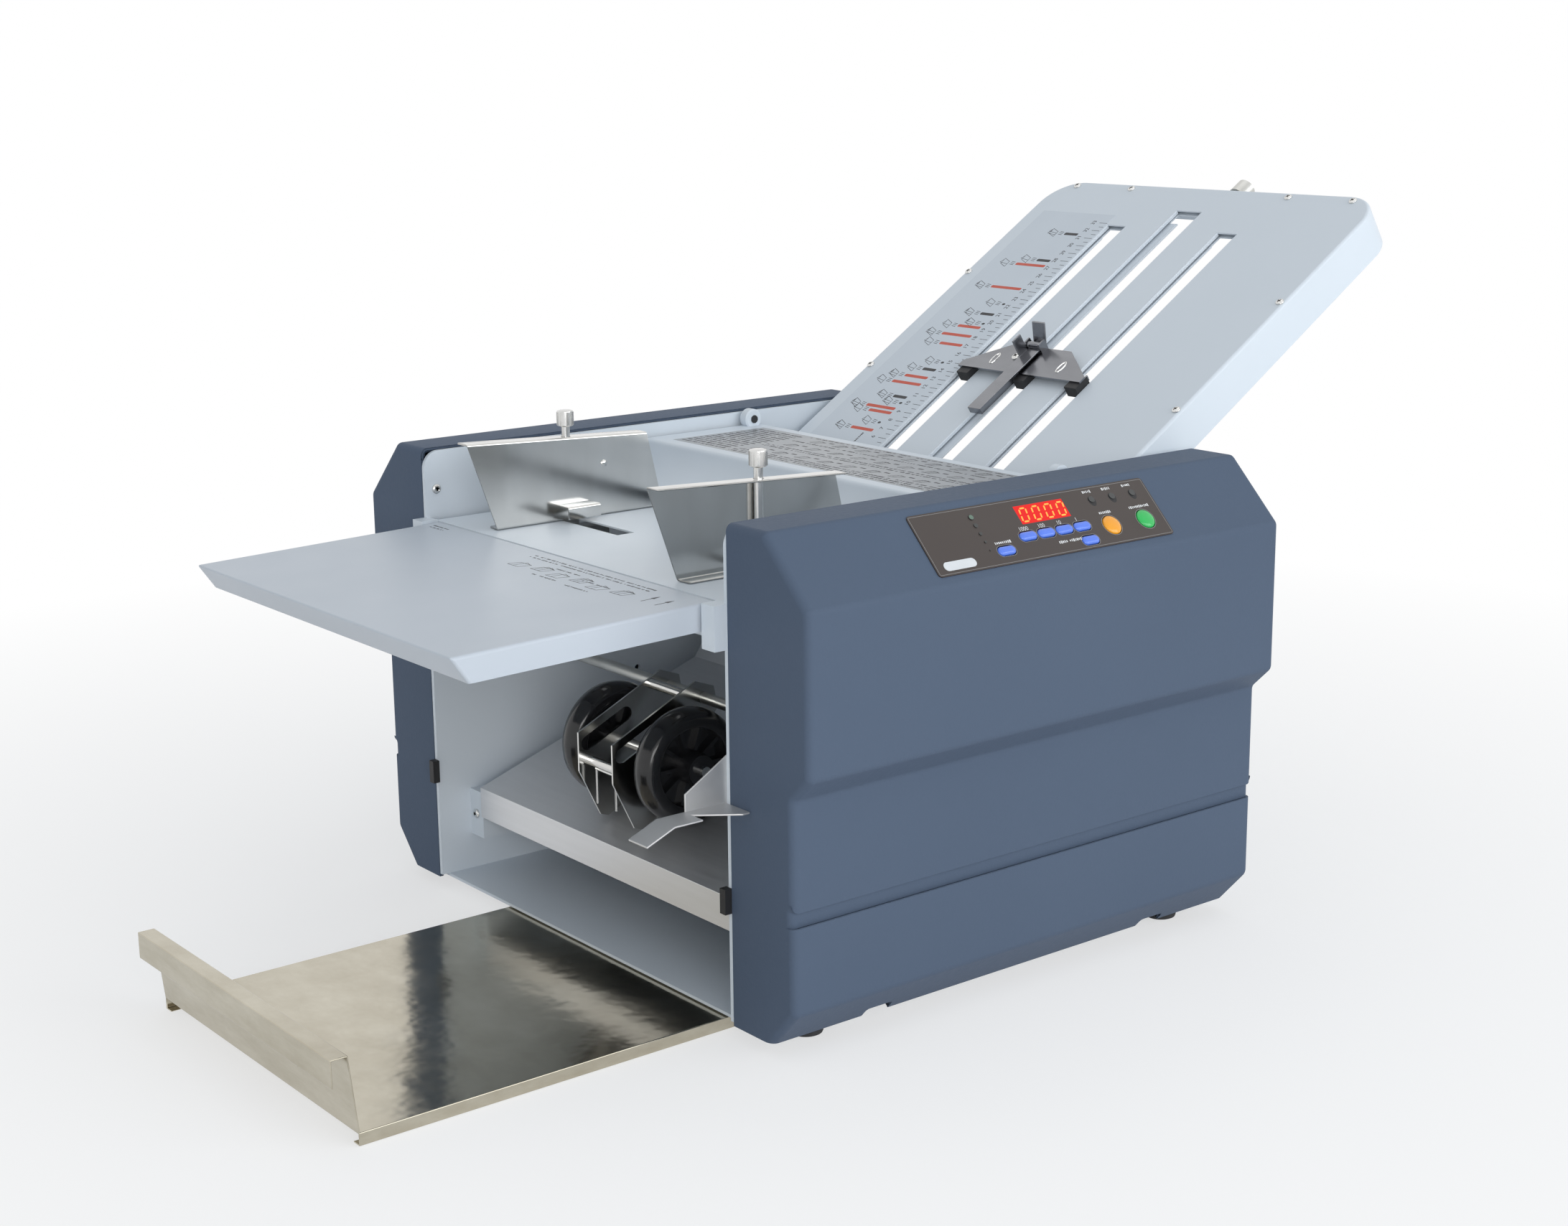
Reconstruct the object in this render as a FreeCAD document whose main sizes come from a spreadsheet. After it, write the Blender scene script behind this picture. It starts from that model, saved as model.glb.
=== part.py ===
"""Desktop paper folding machine, as a parametric document in millimetres.

X runs the way the paper is fed, +Y points at the drive side and +Z is up. The origin lies on the ground
under the middle of the whole machine. Places are given from the covers' front face, front_x ahead of it.
"""
import FreeCAD
import Part
import math
import os
import re

import Sketcher

doc = FreeCAD.newDocument("PaperFolder")

# Sizes in millimetres and degrees. A name ending in share is a part of the size it follows.
SIZES = dict(
    # Covers: a chamfered block over a narrower waist, split at a recessed band near the foot
    body_length=397.3, cover_top=319.6, shoulder_z=279.4, ledge_top=180.2, ledge_low=165.1,
    seam_z=87.2, band_height=9.4, band_depth=2.2, chin_z=32.8, cover_lift=9.0,
    top_reach=34.9, cover_reach=74.7, waist_reach=59.1, chin_reach=37.4,
    cover_wall=3.0, cover_round=5.0, notch_width=21.0, notch_height=6.0,
    notch_front=80.0, notch_inset=77.3, bevel_share=0.41,
    # Base plate, feet and side frames
    foot_height=9.2, foot_radius=11.0, foot_inset=42.0, base_sheet=2.0,
    base_edge=9.2, base_inset=6.0, rear_wall_top=64.0, rear_wall_inset=5.0, frame_sheet=3.0,
    frame_half=171.5, frame_top=317.6, frame_corner=12.0, joint_gap=0.3, running_gap=0.05, overrun=5.0,
    peep_radius=2.6, peep_front=162.0, peep_step=12.0, peep_z=135.0,
    latch_length=5.0, latch_height=16.0, latch_z=81.0,
    # Screws
    head_radius=3.4, head_height=2.0, frame_screw_x=9.0, frame_screw_z=291.0,
    # Cross bars and guide rails
    bar_radius=5.0, rail_radius=4.0, rail_step=35.0, rail_z=258.0,
    low_bar_inset=25.3, low_bar_z=92.0, high_bar_z=205.0, plate_bar_s=70.0,
    # Feed table, guides and their clamp knobs
    table_top=270.7, table_sheet=1.2, table_front=3.8, table_end_gap=25.35, table_inset=6.5,
    table_skirt=24.0, post_share=0.4375, post_slot_half=7.0, post_slot_inner=38.0, post_slot_edge=2.5,
    guide_half=103.0, guide_sheet=1.2, guide_lift=0.3, guide_front_low=16.0, guide_front_top=-5.4,
    guide_rear_gap=3.0, guide_rear_slant=12.5, guide_front_z=331.7, guide_rear_z=325.0,
    guide_flange=12.0, post_offset=5.0, post_radius=3.0, post_foot_z=249.0,
    slider_length=60.0, slider_height=15.0, slider_width=12.0, neck_half=6.4, neck_side=4.0,
    knob_radius=5.9, knob_height=10.8, knob_low=335.6, knob_dome=1.2, knob_flank=0.8,
    clip_offset=11.5, clip_length=26.0, clip_reach=14.0, clip_lift=10.0, clip_turn=7.0, clip_sheet=1.6,
    rivet_share=0.64, rivet_z=307.0, rivet_radius=2.4, rivet_height=1.0,
    # Separator pad under the feed roller
    pad_length=22.0, pad_half=19.0, pad_drop=16.0, pad_gap=0.4,
    # Feed tray
    tray_length=178.6, tray_inset=12.5, tray_lip=16.7, tray_bevel=11.0, tray_sheet=1.2,
    tray_rear_x=2.0, tray_rear_z=270.5, tray_dip=1.54, hinge_radius=2.4, hinge_drop=4.0,
    hinge_back=6.0, bracket_reach=9.0, bracket_width=10.0, bracket_low=244.0, bracket_height=27.5,
    # Rollers and the drive
    roller_radius=17.0, roller_gap=0.3, roller_inset=21.5, shaft_radius=6.0, nip_drop=2.7,
    third_dip=5.0, fourth_lean=5.0, feed_offset=81.35, feed_z=288.6, feed_radius=15.0, feed_half=42.0,
    shaft_stub=2.5, bush_radius=8.5, bush_flange=11.0, bush_lip=1.6,
    gear_gap=5.5, gear_width=8.0, wheel_gap=4.0, pulley_width=10.0, lead_width=7.0,
    roller_pulley=22.0, motor_pulley_radius=12.0, lead_pulley=10.0, belt_sheet=1.5, belt_gap=0.3,
    gear_relief=0.15, motor_offset=101.35, motor_z=66.0, motor_radius=37.0, motor_length=104.0,
    motor_shaft=5.0, motor_flange=4.0, motor_hole=14.0, motor_square=40.0,
    # Fold plate, laid out from the zero of its centimetre scale
    scale_set_back=117.95, scale_zero_z=271.2, plate_tilt=32.5, panel_start=14.0, panel_end=382.0,
    panel_inset=7.5, panel_wall=30.7, panel_sheet=1.2, panel_corner=30.0, panel_edge=2.5,
    paper_gap=3.0, slot_start=40.0, slot_end=328.5, middle_slot_end=352.0,
    slot_width=20.0, middle_width=26.2, back_slot_width=18.6, drive_slot=47.4, middle_slot=-12.6,
    operator_slot=-65.5, lip_end=11.0, screw_edge=4.2, plate_knob_y=-17.5,
    screw_wide_share=0.85, screw_near_share=0.485, screw_low_s=135.0, screw_high_s=256.5,
    plate_knob_radius=7.5, plate_knob_length=12.0, plate_knob_neck=4.0,
    # Fold stop, measured along the plate from the scale's zero
    stop_front=142.0, stop_back=172.4, stop_wing=63.5, stop_centre=-1.5, stop_lift=5.0,
    stop_sheet=1.5, stop_tip=6.0, stop_back_share=0.47, shoe_front=136.4, shoe_length=13.6,
    shoe_gap=0.35, shoe_depth=10.2, shoe_width=11.6, shoe_chamfer=2.0,
    lever_front=97.0, lever_end=175.0, lever_width=13.0, lever_centre=2.0, lever_sheet=1.2,
    lever_low=8.0, lever_rise=4.0, lever_tab=7.0, thumb_height=15.0, thumb_length=9.0,
    thumb_from=157.0, lever_pivot=170.0, lever_axis=10.4, lever_ear=3.5, lever_pin_radius=1.4,
    lever_barrel_radius=2.6,
    # Lower fold plate and its stop
    lower_offset=25.55, lower_inset=15.5, lower_spacer=6.0, lower_top=230.0, lower_floor=24.0,
    finger_y=60.0, finger_width=5.0, finger_slot=6.0, finger_low=40.0, finger_high=214.0,
    lower_stop_z=120.0, lower_stop_height=15.0, lower_stop_half=76.0, lower_knob_radius=8.0,
    lower_knob_length=14.0, lower_tab_z=180.0,
    # Top cover
    lid_top=308.0, lid_reach=96.35, lid_overhang=8.65, lid_inset=4.0, lid_sheet=2.0, cove_reach=28.0,
    lid_axis_offset=1.35, lid_axis_z=313.0, boss_radius=7.5, boss_length=7.5,
    pin_radius=3.0,
    # Exit chute
    chute_front=24.5, chute_front_z=75.5, chute_throat=43.0, chute_slope=18.705, chute_end_gap=21.35,
    chute_end_z=203.0, chute_inset=16.5, chute_sheet=1.2, cheek_side=15.0, cheek_drop=22.0,
    lug_length=34.0, lug_height=34.0, lug_front=26.0, lug_top=71.0,
    # Stacker wheels and their carrier
    wheel_x=63.8, wheel_z=130.8, wheel_radius=39.0, wheel_half=42.0, wheel_width=20.0,
    tyre_round=9.0, hub_radius=11.0, hub_reach=7.0, web_half=2.0, rim_inner=27.0, spoke_count=10,
    spoke_half=1.4, spoke_reach=6.0, wheel_shaft_radius=3.5, shaft_reach=5.0,
    carrier_half=19.0, carrier_sheet=1.5, carrier_bar_x=95.0, carrier_bar_z=166.0,
    carrier_bar_radius=4.0, nose_x=20.5, nose_top=147.0, nose_mid=120.5, toe_front=36.5,
    toe_z=87.5, toe_mid=42.5, toe_low=85.5, toe_back=54.0, toe_back_z=91.0, crown_x=88.0,
    crown_z=178.5, heel_x=103.0, heel_top=173.0, heel_tip=106.0, heel_low=158.0,
    slot_turn=25.0, carrier_slot=34.0, carrier_slot_half=5.0, carrier_slot_x=43.0,
    carrier_slot_z=146.0, spacer_radius=3.5, spacer_x=29.0, spacer_z=127.0, spacer_inset=8.0,
    wire_radius=0.9, wire_drop=24.0, wire_half=11.0, full_turn=360.0,
    # Sheet deflector by the exit
    deflector_front=-30.5, deflector_rear=30.0, deflector_z=150.5, deflector_tip=161.3,
    deflector_top=181.5, deflector_peak=4.0, deflector_sheet=1.2, deflector_width=24.0,
    deflector_stop=-1.2, deflector_screw=12.0, deflector_screw_z=166.0, tongue_width=19.0,
    tongue_reach=20.0, tongue_slope=22.0, tongue_share=0.3,
    # Exit tray
    exit_front=-247.0, exit_rear=120.0, exit_inset=11.7, exit_half=125.8, exit_sheet=0.9,
    exit_floor=7.4, exit_lift=0.3, rail_flange=7.0, exit_wall=47.0, exit_lean=5.0,
    exit_brow=10.0, exit_lip=17.0,
    # Control panel on the operator cover's chamfer
    fascia_front=102.5, fascia_rear=301.2, fascia_drop=6.0, fascia_low=50.2, fascia_sheet=0.8,
    fascia_corner=2.5, window_margin=2.0, key_length=14.0, key_width=7.0, key_proud=2.6,
    key_depth=3.6, key_gap=0.3, key_travel=1.2, digit_key_x=184.4, digit_key_step=15.35, digit_key_drop=33.4,
    speed_key_x=162.0, speed_key_drop=40.6, clear_key_x=230.6, clear_key_drop=44.0,
    round_key_radius=6.9, round_key_dome=1.2, test_key_x=254.6, start_key_x=284.7,
    round_key_drop=36.3, display_front=185.6, display_rear=226.8, display_drop=11.5,
    display_low=24.9, display_sheet=1.4, lamp_radius=2.3, lamp_front=250.5, lamp_step=18.0,
    lamp_drop=15.9, lamp_proud=0.5, lamp_depth=2.6, gauge_x=149.8, gauge_drop=14.0,
    gauge_step=6.1, gauge_count=5, gauge_shrink_share=0.16,
    # Boards, inlet and switch
    board_front=104.0, board_length=190.0, board_low=150.0, board_height=98.0, board_sheet=1.6,
    stand_off=6.0, stand_radius=2.2, stand_inset=7.0, key_board_depth=9.0, key_board_margin=3.0,
    block_length=48.0, block_height=40.0, block_share=0.64, can_radius=7.0, can_share=0.47,
    inlet_inset=53.5, inlet_z=40.0, inlet_width=58.0, inlet_height=30.0, inlet_depth=24.0,
    inlet_lip=2.0, socket_width=22.0, socket_height=16.0, socket_depth=15.0, socket_offset=13.0,
    rocker_width=12.0, rocker_height=18.0, rocker_offset=16.0, rocker_proud=2.4, rocker_gap=0.4,
    rocker_depth=9.0, rocker_share=0.45, rocker_tilt=7.0, pin_share=0.3, rocker_pin=1.6,
)

sheet = doc.addObject("Spreadsheet::Sheet", "Sizes")
for row, (alias, value) in enumerate(SIZES.items(), 1):
    sheet.set(f"A{row}", alias)
    sheet.set(f"B{row}", str(value))
    sheet.setAlias(f"B{row}", alias)

# Values worked out from the sizes, kept as bound properties
WORKED = dict(
    rim_half="frame_half + frame_sheet + joint_gap",
    top_half="rim_half + top_reach",
    cover_half="rim_half + cover_reach",
    waist_half="rim_half + waist_reach",
    chin_half="rim_half + chin_reach",
    base_half="chin_half - base_edge",
    foot_line="base_half - foot_radius",
    base_top="foot_height + base_sheet",
    notch_rear="body_length - notch_inset",
    scale_zero_x="body_length - scale_set_back",
    table_end="scale_zero_x - table_end_gap",
    table_half="frame_half - table_inset",
    tray_half="frame_half - tray_inset",
    bracket_half="frame_half - bracket_width",
    roller_half="frame_half - roller_inset",
    panel_half="frame_half - panel_inset",
    lower_half="frame_half - lower_inset",
    lower_inner="lower_half - lower_spacer",
    lid_half="frame_half - lid_inset",
    chute_half="frame_half - chute_inset",
    exit_centre="exit_half + exit_inset - frame_half",
    inlet_y="frame_half - inlet_inset",
    gear_y="frame_half + frame_sheet + gear_gap",
    pulley_y="gear_y + gear_width + wheel_gap",
    lead_y="pulley_y + pulley_width + wheel_gap",
    feed_x="scale_zero_x - feed_offset",
    motor_x="scale_zero_x - motor_offset",
    lid_front="scale_zero_x - lid_reach",
    lid_rear="scale_zero_x + lid_overhang",
    lid_axis_x="scale_zero_x - lid_axis_offset",
    lower_front="scale_zero_x + lower_offset",
    low_bar_x="body_length - low_bar_inset",
    chute_end="scale_zero_x - chute_end_gap",
    chute_break="chute_end - chute_throat",
    chute_break_z="chute_front_z + (chute_break - chute_front) * tan(chute_slope)",
    guide_rear_low="lid_front - cove_reach - guide_rear_gap",
    guide_rear_top="guide_rear_low - guide_rear_slant",
    guide_span="guide_rear_low - guide_front_low",
    post_x="guide_front_low + post_share * guide_span",
    rivet_x="guide_front_low + rivet_share * guide_span",
    clip_front="post_x - clip_offset",
    rail_front="post_x - rail_step / 2",
    post_slot_outer="table_half - post_slot_edge",
    board_room="waist_half - band_depth - cover_wall - frame_half - frame_sheet - stand_off - board_sheet",
    block_depth="block_share * board_room",
    can_height="can_share * board_room",
    guide_low="table_top + guide_lift",
    hinge_x="tray_rear_x - hinge_back * cos(tray_dip) + hinge_drop * sin(tray_dip)",
    hinge_z="tray_rear_z - hinge_back * sin(tray_dip) - hinge_drop * cos(tray_dip)",
    machine_front="exit_front - exit_lean - exit_brow",
    machine_rear="scale_zero_x + panel_end * cos(plate_tilt) + panel_wall * sin(plate_tilt)",
    knob_rear="scale_zero_x + (panel_end + plate_knob_neck + plate_knob_length) * cos(plate_tilt)"
              " + (2 * plate_knob_radius + panel_edge) * sin(plate_tilt)",
    front_x="-(machine_front + max(machine_rear; knob_rear)) / 2",
    half_pitch="roller_radius + roller_gap / 2",
    pitch="2 * roller_radius + roller_gap",
    roller_1_x="scale_zero_x - (half_pitch - nip_drop) * sin(plate_tilt)",
    roller_1_z="scale_zero_z + (half_pitch - nip_drop) * cos(plate_tilt)",
    roller_2_x="scale_zero_x + (half_pitch + nip_drop) * sin(plate_tilt)",
    roller_2_z="scale_zero_z - (half_pitch + nip_drop) * cos(plate_tilt)",
    roller_3_x="roller_2_x + pitch * cos(third_dip)",
    roller_3_z="roller_2_z - pitch * sin(third_dip)",
    roller_4_x="roller_2_x - pitch * sin(fourth_lean)",
    roller_4_z="roller_2_z - pitch * cos(fourth_lean)",
    panel_rise="cover_top - shoulder_z",
    panel_run="cover_half - top_half",
    panel_slope="sqrt(panel_rise * panel_rise + panel_run * panel_run)",
    panel_sin="panel_rise / panel_slope",
    panel_cos="panel_run / panel_slope",
    back_top="-panel_sheet - paper_gap",
    post_y="guide_half + post_offset",
    lower_rear="lower_front + 2 * panel_sheet + paper_gap",
    rocker_x="body_length - rear_wall_inset + inlet_lip - rocker_depth / 2",
    main_run="roller_2_x - motor_x",
    main_rise="roller_2_z - motor_z",
    main_span="sqrt(main_run * main_run + main_rise * main_rise)",
    main_turn="atan2(main_rise; main_run)",
    main_spread="acos((motor_pulley_radius - roller_pulley) / main_span)",
    feed_run="roller_1_x - feed_x",
    feed_rise="roller_1_z - feed_z",
    feed_turn="atan2(feed_rise; feed_run)",
    feed_spread="acos(0)",
)
REFS = {name: f"Sizes.{name}" for name in SIZES}
REFS.update({name: f"Worked.{name}" for name in WORKED})


def bound(text):
    """Point the size names in a sum at the cells that hold them."""
    return re.sub(r"[a-z][a-z0-9_]*", lambda word: REFS.get(word.group(), word.group()), text)


worked = doc.addObject("App::VarSet", "Worked")
for name, text in WORKED.items():
    worked.addProperty("App::PropertyFloat", name)
    worked.setExpression(name, bound(text))
doc.recompute()

AXES = dict(x=FreeCAD.Vector(1, 0, 0), y=FreeCAD.Vector(0, 1, 0), z=FreeCAD.Vector(0, 0, 1))
QUARTER = 90
PLANES = dict(xy="XY_Plane", xz="XZ_Plane", yz="YZ_Plane")
DEPTH_AXIS = dict(xy="z", xz="y", yz="x")
nodes = {}


def size(name):
    """The present number of a size, for the pieces whose shape no feature makes."""
    return getattr(sheet, name) if name in SIZES else getattr(worked, name)


def bind(obj, **sums):
    for prop, text in sums.items():
        obj.setExpression(prop, bound(text))
    return obj


def put(obj, x="0", y="0", z="0"):
    for axis, text in (("x", x), ("y", y), ("z", z)):
        obj.setExpression(f"Placement.Base.{axis}", bound(text))
    return obj


def turn(obj, axis, text):
    """Turn a piece about an axis, by an angle worked out from the sizes."""
    obj.Placement = FreeCAD.Placement(obj.Placement.Base, FreeCAD.Rotation(AXES[axis], 1))
    obj.setExpression("Placement.Rotation.Angle", bound(text))
    return obj


def point_along(obj, axis):
    """Stand a piece that was made along Z along another axis."""
    turns = dict(x=("y", QUARTER), y=("x", -QUARTER), z=("z", 0))
    about, angle = turns[axis]
    obj.Placement = FreeCAD.Placement(obj.Placement.Base, FreeCAD.Rotation(AXES[about], angle))
    return obj


def block(name, x, y, z):
    """A box between a low and a high place on each axis."""
    obj = doc.addObject("Part::Box", name)
    bind(obj, Length=f"({x[1]}) - ({x[0]})", Width=f"({y[1]}) - ({y[0]})", Height=f"({z[1]}) - ({z[0]})")
    return put(obj, x[0], y[0], z[0])


def rod(name, axis, radius, low, high, x="0", y="0", z="0"):
    """A round bar along an axis, from a low to a high place on it."""
    obj = doc.addObject("Part::Cylinder", name)
    bind(obj, Radius=radius, Height=f"({high}) - ({low})")
    point_along(obj, axis)
    place = dict(x=x, y=y, z=z)
    place[axis] = low
    return put(obj, **place)


def sketch(body, plane, points):
    """A closed outline whose corners are each held by two sizes."""
    obj = body.newObject("Sketcher::SketchObject", f"{body.Name}_outline")
    origin = next(item for item in body.Origin.OriginFeatures if item.Role == PLANES[plane])
    obj.AttachmentSupport = [(origin, "")]
    obj.MapMode = "FlatFace"
    count = len(points)
    ring = [FreeCAD.Vector(math.cos(math.tau * i / count), math.sin(math.tau * i / count), 0)
            for i in range(count)]
    for i in range(count):
        obj.addGeometry(Part.LineSegment(ring[i], ring[(i + 1) % count]), False)
    for i in range(count):
        obj.addConstraint(Sketcher.Constraint("Coincident", i, 2, (i + 1) % count, 1))
    for i, (across, up) in enumerate(points):
        for kind, start, text in (("DistanceX", ring[i].x, across), ("DistanceY", ring[i].y, up)):
            index = obj.addConstraint(Sketcher.Constraint(kind, -1, 1, i, 1, start))
            obj.renameConstraint(index, f"{kind}_{i}")
            obj.setExpression(f"Constraints.{kind}_{i}", bound(text))
    return obj


def plate(name, plane, points, low, high):
    """An outline on one plane, as thick as from a low to a high place across it."""
    body = doc.addObject("PartDesign::Body", name)
    pad = body.newObject("PartDesign::Pad", f"{name}_pad")
    pad.Profile = sketch(body, plane, points)
    bind(pad, Length=f"({high}) - ({low})")
    return put(body, **{DEPTH_AXIS[plane]: high if plane == "xz" else low})


def round_edges(body, radius, wanted):
    """Round the edges of a body whose ends pass a test, both ends in the body's own frame."""
    doc.recompute()
    tip = body.Tip
    names = [f"Edge{i}" for i, edge in enumerate(tip.Shape.Edges, 1)
             if len(edge.Vertexes) == 2 and wanted(edge.Vertexes[0].Point, edge.Vertexes[1].Point)]
    fillet = body.newObject("PartDesign::Fillet", f"{body.Name}_round")
    fillet.Base = (tip, names)
    bind(fillet, Radius=radius)
    return body


def round_rims(body, radius, rim):
    """Round the circular edges of one radius."""
    doc.recompute()
    tip = body.Tip
    names = [f"Edge{i}" for i, edge in enumerate(tip.Shape.Edges, 1)
             if abs(getattr(edge.Curve, "Radius", 0) - size(rim)) < size("running_gap")]
    fillet = body.newObject("PartDesign::Fillet", f"{body.Name}_round")
    fillet.Base = (tip, names)
    bind(fillet, Radius=radius)
    return body


def lathe(name, axis, points, x="0", y="0", z="0"):
    """A turned piece: pairs of radius and place along its axis, spun about it."""
    body = doc.addObject("PartDesign::Body", name)
    outline = sketch(body, "xz", points)
    spin = body.newObject("PartDesign::Revolution", f"{name}_spin")
    spin.Profile = outline
    spin.ReferenceAxis = (outline, ["V_Axis"])
    point_along(body, axis)
    return put(body, x, y, z)


def cut(name, base, *tools):
    obj = doc.addObject("Part::Cut", name)
    obj.Base = base
    obj.Tool = tools[0] if len(tools) == 1 else fuse(f"{name}_tools", *tools)
    return obj


def fuse(name, *parts):
    obj = doc.addObject("Part::MultiFuse", name)
    obj.Shapes = list(parts)
    return obj


def group(name, *parts):
    """Separate solids that share one node."""
    obj = doc.addObject("Part::Compound", name)
    obj.Links = list(parts)
    return obj


def node(name, *parts):
    """Hand finished pieces in as one labelled node, moved from the covers' front to the origin."""
    nodes[name] = put(group(name, *parts), "front_x")


def on_plate(obj, s="0", y="0", lift="0"):
    """Lay a piece on the fold plate: s runs up the plate from its scale's zero, lift stands off it."""
    turn(obj, "y", "-plate_tilt")
    return put(obj, f"scale_zero_x + ({s}) * cos(plate_tilt) - ({lift}) * sin(plate_tilt)", y,
               f"scale_zero_z + ({s}) * sin(plate_tilt) + ({lift}) * cos(plate_tilt)")


def on_panel(obj, x="0", drop="0", lift="0"):
    """Lay a piece on the control panel's slope: drop runs down it, lift stands off it."""
    turn(obj, "x", "acos(panel_cos)")
    return put(obj, x, f"-top_half - ({drop}) * panel_cos - ({lift}) * panel_sin",
               f"cover_top - ({drop}) * panel_sin + ({lift}) * panel_cos")


# Covers. Each side is an upper shell and a base shell that meet at the recessed band
def cover_shells(side, sign):
    """The two hollow mouldings of one side, open towards the frame."""
    def outline(pairs):
        return [(f"{sign} * ({y})", z) for y, z in pairs]

    def outer_end(first, second):
        """An edge round the front or rear face, clear of the rim and of the open foot."""
        ends = (0, size("body_length"))
        flat = any(abs(first.x - end) + abs(second.x - end) < size("joint_gap") for end in ends)
        middle = (first + second) / 2
        open_side = abs(abs(middle.y) - size("rim_half")) < size("joint_gap")
        foot = max(first.z, second.z) - min(first.z, second.z) < size("joint_gap")
        crown = abs(middle.z - size("cover_top")) < size("joint_gap")
        return flat and not open_side and (crown or not foot)

    upper = plate(f"{side}_cover_blank", "yz", outline([
        ("rim_half", "seam_z"), ("waist_half", "seam_z"), ("waist_half", "ledge_low"),
        ("cover_half", "ledge_top"), ("cover_half", "shoulder_z"), ("top_half", "cover_top"),
        ("rim_half", "cover_top")]), "0", "body_length")
    round_edges(upper, "cover_round", outer_end)
    hollow = plate(f"{side}_cover_hollow", "yz", outline([
        ("rim_half - overrun", "seam_z - overrun"),
        ("waist_half - band_depth - cover_wall", "seam_z - overrun"),
        ("waist_half - band_depth - cover_wall", "ledge_low + bevel_share * cover_wall"),
        ("cover_half - cover_wall", "ledge_top + bevel_share * cover_wall"),
        ("cover_half - cover_wall", "shoulder_z - bevel_share * cover_wall"),
        ("top_half - bevel_share * cover_wall", "cover_top - cover_wall"),
        ("rim_half - overrun", "cover_top - cover_wall")]), "cover_wall", "body_length - cover_wall")
    low, high = ("rim_half - overrun", "waist_half - band_depth")
    inner_y = (f"-({high})", f"-({low})") if sign < 0 else (low, high)
    wide_y = (f"-({high} + overrun)", f"-({low})") if sign < 0 else (low, f"{high} + overrun")
    band_z = ("seam_z - overrun", "seam_z + band_height")
    band = cut(f"{side}_cover_band",
               block(f"{side}_band_ring", ("-overrun", "body_length + overrun"), wide_y, band_z),
               block(f"{side}_band_core", ("band_depth", "body_length - band_depth"), inner_y, band_z))

    base = plate(f"{side}_base_blank", "yz", outline([
        ("rim_half", "cover_lift"), ("chin_half", "cover_lift"), ("waist_half", "chin_z"),
        ("waist_half", "seam_z"), ("rim_half", "seam_z")]), "0", "body_length")
    round_edges(base, "cover_round", outer_end)
    base_hollow = plate(f"{side}_base_hollow", "yz", outline([
        ("rim_half - overrun", "cover_lift - overrun"),
        ("chin_half - (1 + bevel_share) * cover_wall", "cover_lift - overrun"),
        ("chin_half - (1 + bevel_share) * cover_wall", "cover_lift"),
        ("waist_half - cover_wall", "chin_z + bevel_share * cover_wall"),
        ("waist_half - cover_wall", "seam_z + overrun"),
        ("rim_half - overrun", "seam_z + overrun")]), "cover_wall", "body_length - cover_wall")
    notch_y = ("-cover_half", "-rim_half - overrun") if sign < 0 else ("rim_half + overrun", "cover_half")
    notches = [block(f"{side}_notch_{i}", (f"{at} - notch_width / 2", f"{at} + notch_width / 2"),
                     notch_y, ("cover_lift - overrun", "cover_lift + notch_height"))
               for i, at in enumerate(("notch_front", "notch_rear"))]
    return (upper, [hollow, band]), (base, [base_hollow] + notches)


(upper_blank, upper_tools), (base_blank, base_tools) = cover_shells("drive", 1)
node("drive_cover", cut("drive_cover_cut", upper_blank, *upper_tools))
node("drive_base_cover", cut("drive_base_cut", base_blank, *base_tools))

# The operator's cover also has the window behind the control panel
(upper_blank, upper_tools), (base_blank, base_tools) = cover_shells("operator", -1)
window = block("panel_window", ("0", "fascia_rear - fascia_front - 2 * window_margin"),
               ("0", "fascia_low - fascia_drop - 2 * window_margin"),
               ("-cover_wall - overrun", "overrun"))
window_holder = group("panel_window_seat", window)
on_panel(window_holder, "fascia_front + window_margin", "fascia_low - window_margin")
node("operator_cover", cut("operator_cover_cut", upper_blank, *upper_tools, window_holder))
node("operator_base_cover", cut("operator_base_cut", base_blank, *base_tools))

# Base plate: a flat pan on four feet, with a low rear wall for the power inlet
inlet_hole = block("inlet_hole", ("body_length - rear_wall_inset - 2 * base_sheet", "body_length"),
                   ("inlet_y - inlet_width / 2", "inlet_y + inlet_width / 2"),
                   ("inlet_z - inlet_height / 2", "inlet_z + inlet_height / 2"))
base_pan = fuse("base_pan",
                block("base_floor", ("base_inset", "body_length - base_inset"), ("-base_half", "base_half"),
                      ("foot_height", "base_top")),
                block("base_rear", ("body_length - rear_wall_inset - base_sheet",
                                    "body_length - rear_wall_inset"),
                      ("joint_gap - frame_half", "frame_half - joint_gap"), ("foot_height", "rear_wall_top")))
node("base_plate", cut("base_cut", base_pan, inlet_hole))
feet = [rod(f"rubber_foot_{i}", "z", "foot_radius", "0", "foot_height", x, y)
        for i, (x, y) in enumerate((x, y) for x in ("foot_inset", "body_length - foot_inset")
                                   for y in ("-foot_line", "foot_line"))]
node("feet", *feet)

# Side frames: sheet walls bored for every shaft, with lugs for the chute and pins for lid and tray
SHAFTS = dict(feed=("feed_x", "feed_z"))
SHAFTS.update({f"fold_{i}": (f"roller_{i}_x", f"roller_{i}_z") for i in range(1, 5)})
SIDES = dict(operator=-1, drive=1)


def across(side, low, high):
    """A stretch across the machine on one side of its middle."""
    return (low, high) if SIDES[side] > 0 else (f"-({high})", f"-({low})")


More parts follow.
